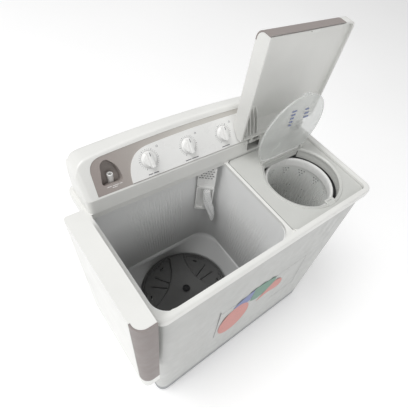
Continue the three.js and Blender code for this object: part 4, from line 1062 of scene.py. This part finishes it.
def fascia():
    plate = slab("plate", panel_outline(), -3, -0.8, FASCIA)
    bowl = slab("bowl", pocket_outline(2.2), -POCKET_DEPTH, -0.9, FASCIA)
    hollow = slab("hollow", pocket_outline(0), 2.5 - POCKET_DEPTH, 5, FASCIA)
    n = NOZZLE
    nozzle_place = FASCIA @ Matrix.Translation((n["x"], n["v"], -n["depth"])) @ turn(-FASCIA_SLOPE, "X")
    panel = cut(join(plate, bowl), hollow, rod("bore", 8, -30, 40, nozzle_place))
    holes = [rod("hole", 6, -20, 20, about(x, KNOB_V, 0, FASCIA)) for x in KNOBS.values()]
    panel = soften(cut(panel, *holes), 0.8, 3)
    piece(panel, "fascia_taupe", "machine", FASCIA_TAUPE, ["fascia_panel"])
    holes = [rod("hole", 6, -20, 20, about(x, KNOB_V, 0, FASCIA)) for x in KNOBS.values()]
    white = soften(cut(slab("white", knob_outline(), -0.5, 1.8, FASCIA), *holes), 0.7, 3)
    piece(white, "knob_panel_white", "machine", PANEL_WHITE, ["knob_panel"])
    profile = [(4.6, -20), (7.5, -20), (7.5, 19), (7.8, 20), (7.8, 22), (7.2, 23.6), (6.4, 24), (5.2, 24), (4.6, 23.2),
               (4.6, -20)]
    nozzle = turned("nozzle", profile, nozzle_place, 48)
    piece(nozzle, "inlet_spout", "machine", PANEL_WHITE, ["inlet_nozzle"])
    lines = [slab("line", rounded_rect(x, x + run, v, v + 1.3, 0.6, 3), -0.9, -0.62, FASCIA)
             for x, v, run in ((70, 18, 12), (84, 17.6, 16), (102, 17.8, 8), (82, 13.6, 14))]
    piece(merged(lines), "inlet_marks", "machine", INK_LIGHT)


def knobs():
    for name, x in KNOBS.items():
        dial(name, x)
        dial_print(name, x)


def dial(name, x):
    """A dial: a thin skirt, a low round cap and a tall flat-topped grip across it, with a pointer line on top."""
    place = about(x, KNOB_V, 0, FASCIA) @ turn(KNOB_TURN, "Z")
    body = turned("body", [(0, -14), (3, -14), (3, 2.2), (20.6, 2.2), (21.5, 3), (21.5, 3.8), (20.8, 4.6), (19.2, 5),
                           (18.6, 5.8), (18.2, 8.6), (17.2, 10), (15, 10.6), (0, 10.8)], place, 96)
    disc = rod("disc", 20.2, 3, 40, place, 96)
    section = outline((-7, 3), (7, 3), (5.6, 18), (5.4, 20.8, 2.6, 20.9), (-2.6, 20.9), (-5.4, 20.8, -5.6, 18), steps=6)
    grip = common(slab_y("grip", section, -22, 22, place), disc)
    body = soften(join(body, grip), 0.7, 3)
    piece(body, name + "_dial", name + "_dial", PANEL_WHITE, [name + "_knob"])
    pointer = slab("pointer", rounded_rect(-0.9, 0.9, 9, 18.5, 0.7, 4), 20.5, 21.2, place)
    piece(pointer, name + "_pointer", name + "_dial", INK_GREY)


def dial_print(name, x):
    """Ticks round the dial, a heavier one at each fifth, a word-like bar below and a small sign above right."""
    place = about(x, KNOB_V, 0, FASCIA)
    ticks = []
    for k in range(26):
        heavy = k % 5 == 0
        ray = place @ turn(math.radians(-60 + k * 12), "Z")
        inner, outer, half = (24.4, 28.8, 0.6) if heavy else (25.2, 27.8, 0.35)
        ticks.append(block("tick", inner, outer, -half, half, 1.7, 1.95, ray))
    rail = turned("rail", [(22.7, 1.7), (23.1, 1.7), (23.1, 1.9), (22.7, 1.9), (22.7, 1.7)], place, 96)
    piece(merged(ticks + [rail]), name + "_scale", "machine", INK_GREY)
    v = 11 - KNOB_V
    strokes = {"wash_timer": ((-15, 13), (0, 15)), "drain_selector": ((-21, 19), (0, 22)), "spin_timer": ((-14, 28),)}
    words = [slab("word", rounded_rect(a, a + run, v, v + 2.4, 1, 4), 1.7, 1.95, place) for a, run in strokes[name]]
    sign = turned("sign", [(2, 1.7), (2.9, 1.7), (2.9, 1.95), (2, 1.95), (2, 1.7)], place @ Matrix.Translation((31, 26, 0)), 24)
    piece(merged(words + [sign]), name + "_label", "machine", INK_GREY)


# ---- lids ----
def lid_block(name, x0, x1, y0, y1, side, inset, place, low=0.0, ramp_run=0.0):
    """A lid's solid, shut: rounded along its front edge and over its free end, chamfered along its back edge,
    which is square on the left lid. With ramp_run its free end slopes over that length, as the underside's hollow does."""
    r = LID_ROUND - inset
    square = side < 0
    run = (6 if square else LID_ROUND) - inset * 0.4
    front, back, top = y0 + inset, y1 - inset, LID_T - inset
    profile = [(front, low)] + arc(front + r, top - r, r, 180, 90, 30) + [(back - run, top), (back, top - run), (back, low)]
    free = x1 - inset if side > 0 else x0 + inset
    flat = x0 + inset if side > 0 else x1 - inset
    s = side
    if ramp_run:
        end = outline((flat, low - 1), (free, low - 1), (free, top - 30),
                      (free - s * 4, top - 22, free - s * 18, top - 18), (free - s * ramp_run, top), (flat, top), steps=8)
    else:
        end = outline((flat, low - 1), (free, low - 1), (free, top - 12), (free, top, free - s * 16, top), (flat, top))
    corner, rear = 24 - inset, (8 if square else 24) - inset
    plan = outline((flat, front), (free - s * corner, front), (free, front, free, front + corner),
                   (free, back - rear), (free, back, free - s * rear, back), (flat, back))
    return common(slab_x(name, profile, x0 - 5, x1 + 5, place), slab_y("end", end, y0 - 5, y1 + 5, place),
                  slab("plan", plan, low - 2, LID_T + 5, place))


def lid_parts(x0, x1, y0, y1, side, place, ramp_run):
    """A lid's hollow shell, and the trim set into its front edge, which stops short of the free end."""
    length = (x1 - x0) * 0.86
    t0 = x0 - 1 if side > 0 else x1 - length
    t1 = x0 + length if side > 0 else x1 + 1

    def skin(depth, grow):
        deep = lid_block("deep", x0 - 50, x1 + 50, y0, y1 + 50, side, depth, place, -5)
        zone = block("zone", t0 - grow, t1 + grow, y0 - 2, y0 + 31 + grow, -10, LID_T + 10, place)
        return common(cut(lid_block("skin", x0, x1, y0, y1, side, -3 * grow, place), deep), zone)

    shell = lid_block("shell", x0, x1, y0, y1, side, 0, place)
    shell = cut(shell, lid_block("hollow", x0, x1, y0, y1, side, LID_SKIN, place, -5, ramp_run), skin(TRIM_T + GAP, GAP))
    return shell, skin(TRIM_T, 0)


def spin_lid():
    lid = SPIN_LID
    place = SPIN_LID_SHUT
    shell, trim = lid_parts(lid["x0"], lid["x1"], lid["y0"], lid["y1"], 1, place, 96)
    back = lid["y1"]
    hy, hz = SPIN_PIVOT.y, SPIN_PIVOT.z - lid["z"]
    extras = []
    arm = [(back - 4, 3), (hy - 16, 3), (hy + 2, hz - 5), (hy + 3, hz + 3), (hy - 6, hz + 2), (hy - 20, 10), (back - 4, 10)]
    for x in (525, 721):
        extras += [slab_x("arm", arm, a, a + 7, place) for a in (x, x + 37)]
        extras.append(bar_x("barrel", 5.5, x, x + 44, hy, hz, place))
    rib = outline((back - 6, 6), (back - 5, LID_T - 26), (back - 24, LID_T - 6), (back - 82, LID_T - 5.4),
                  (back - 60, 20, back - 6, 6), steps=12)
    extras += [slab_x("rib", rib, x, x + 3, place) for x in range(lid["x0"] + 26, lid["x0"] + 82, 14)]
    mid = (lid["x0"] + lid["x1"]) / 2
    catch = rounded_rect(mid - 15, mid + 15, lid["y0"] + 4.5, lid["y0"] + 12, 3, 5)
    extras.append(slab("catch", catch, 1, 10, place))
    shell = cut(join(shell, *extras), bar_x("pin", 3.3, 500, 790, hy, hz, place))
    shell = soften(shell, 1.1, 3)
    piece(shell, "spin_lid_cover", "spin_lid", WHITE, ["spin_lid_shell"])
    piece(soften(trim, 0.4), "spin_lid_edge_trim", "spin_lid", TAUPE, ["spin_lid_trim"])


def wash_lid():
    lid = WASH_LID
    shell, trim = lid_parts(0, lid["length"], lid["y0"], lid["y1"], -1, WASH_LID_FLAT, 0)
    ribs = [block("rib", x, x + 3, lid["y0"] + 30, lid["y1"] - 30, LID_T - 12, LID_T - LID_SKIN + 1, WASH_LID_FLAT)
            for x in (120, 240, 360)]
    shell = soften(join(shell, *ribs), 1.1, 3)
    piece(shell, "wash_lid_cover", "wash_lid", WHITE, ["wash_lid_shell"])
    piece(soften(trim, 0.4), "wash_lid_edge_trim", "wash_lid", TAUPE, ["wash_lid_trim"])


# ---- front sticker ----
FRONT = MACHINE @ Matrix.Translation((0, INSET - 1.7, 0)) @ turn(math.pi / 2, "X")


def sticker():
    """Printed film on the front: an open frame line and overlapping plain colour shapes. z runs out of the front."""
    left, right, low, high = 218, 640, 290, 535
    strokes = [slab("line", [(left - 1, high + 8), (left + 1.6, high + 8), (left + 6, low + 12), (left + 3.4, low + 12)],
                    0.1, 0.3, FRONT),
               slab("line", rounded_rect(left + 6, right - 24, high - 16, high - 14.6, 0.6, 3), 0.1, 0.24, FRONT),
               slab("line", [(right - 24, high - 26), (right - 22.6, high - 26), (right + 4, low - 12),
                             (right + 2.6, low - 12)], 0.1, 0.24, FRONT),
               slab("line", rounded_rect(right - 120, right + 3, low - 12, low - 10.6, 0.6, 3), 0.1, 0.24, FRONT)]
    piece(merged(strokes), "sticker_frame", "machine", INK_GREY)
    disc = [(300 + 66 * math.cos(a), 372 + 110 * math.sin(a)) for a in np.linspace(0, 2 * math.pi, 64, endpoint=False)]
    piece(slab("red", disc, 0.1, 0.4, FRONT), "sticker_red_disc", "machine", INK_RED)
    blue = outline((276, 490), (300, 526, 362, 534), (356, 460), (326, 452, 300, 470), steps=20)
    piece(slab("blue", blue, 0.1, 0.34, FRONT), "sticker_blue_band", "machine", INK_BLUE)
    green = outline((360, 540), (420, 538, 462, 518), (468, 480), (440, 440), (400, 422), (380, 424, 360, 442), steps=20)
    piece(slab("green", green, 0.1, 0.46, FRONT), "sticker_green_band", "machine", INK_GREEN)
    red = outline((468, 478), (500, 480, 518, 440), (534, 396, 505, 386), (470, 400, 440, 398), (404, 386),
                  (420, 420, 468, 478), steps=20)
    piece(slab("tip", red, 0.1, 0.52, FRONT), "sticker_red_band", "machine", INK_RED)


# ---- the remaining CAD nodes ----
def refine_rest():
    """Every CAD node still showing is copied with its edges softened, and stands in its own slot's material."""
    record = frame["record"]
    slot_of = {part["node"]: part["material_slot"] for part in record["subparts"]}
    for name, node in sorted(frame["nodes"].items()):
        if node.hide_render:
            continue
        copy = bpy.data.objects.new(name + "_soft", node.data.copy())
        bpy.context.scene.collection.objects.link(copy)
        soften(copy, 0.7)
        slot = slot_of[name]
        piece(copy, name + "_fine", node["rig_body"], SLOT_MATERIALS[slot], [name])


# ---- studio ----
def camera():
    """The view from above the front left corner, looking down across both tubs."""
    heading, down, roll = 0.946, 0.890, 0.321
    spot = MACHINE @ Vector((-119.4, -217.2, 1508.4))
    look = Vector((math.sin(heading) * math.cos(down), math.cos(heading) * math.cos(down), -math.sin(down)))
    right = look.cross(Vector((0, 0, 1))).normalized()
    up = right.cross(look)
    across = right * math.cos(roll) + up * math.sin(roll)
    upward = up * math.cos(roll) - right * math.sin(roll)
    data = bpy.data.cameras.new("camera")
    data.sensor_width = 36
    data.lens = 29.42
    data.shift_x = -0.1068
    data.shift_y = 0.0384
    data.clip_start = 0.05
    cam = bpy.data.objects.new("camera", data)
    rotation = Matrix((across, upward, -look)).transposed()
    cam.matrix_world = Matrix.Translation(spot) @ rotation.to_4x4()
    bpy.context.scene.collection.objects.link(cam)
    bpy.context.scene.camera = cam


def lamp(name, where, aim, size, power, color=(1, 1, 1)):
    data = bpy.data.lights.new(name, "AREA")
    data.shape = "RECTANGLE"
    data.size, data.size_y = size
    data.energy = power
    data.color = color
    obj = bpy.data.objects.new(name, data)
    obj.location = where
    obj.rotation_euler = (Vector(aim) - Vector(where)).to_track_quat("-Z", "Y").to_euler()
    bpy.context.scene.collection.objects.link(obj)


def studio():
    floor = bpy.data.meshes.new("floor")
    reach_m = 12
    floor.from_pydata([(-reach_m, -reach_m, 0), (reach_m, -reach_m, 0), (reach_m, reach_m, 0), (-reach_m, reach_m, 0)],
                      [], [(0, 1, 2, 3)])
    ground = bpy.data.objects.new("floor", floor)
    material, nodes, links, shader = blank("pale_floor")
    links.new(ramp(nodes, links, noise(nodes, links, 0.8, 2), grey(0.93), grey(0.95)), shader.inputs["Base Color"])
    shader.inputs["Roughness"].default_value = 0.9
    shader.inputs["Emission Color"].default_value = (1, 1, 1, 1)
    shader.inputs["Emission Strength"].default_value = 0.22
    floor.materials.append(material)
    bpy.context.scene.collection.objects.link(ground)
    world = bpy.data.worlds.new("studio")
    bpy.context.scene.world = world
    world.use_nodes = True
    world.node_tree.nodes["Background"].inputs["Color"].default_value = (1, 1, 1, 1)
    world.node_tree.nodes["Background"].inputs["Strength"].default_value = 0.42
    lamp("key", (-2.2, 1.0, 6.4), (0, 0, 0.6), (3.2, 3.2), 215)
    lamp("front", (-1.0, -4.2, 3.0), (0, 0, 0.9), (3.0, 2.0), 38)
    lamp("left", (-4.2, -0.4, 3.2), (0, 0, 0.8), (2.4, 2.4), 30)
    bpy.context.scene.view_settings.view_transform = "Standard"
    bpy.context.scene.view_settings.look = "None"
    bpy.context.scene.view_settings.exposure = 0


camera()
cabinet()
back_cover()
top_frame()
wash_tub()
pulsator()
lint_filter()
spin_deck()
spin_tubs()
safety_lid()
console()
fascia()
knobs()
spin_lid()
wash_lid()
sticker()
refine_rest()
studio()
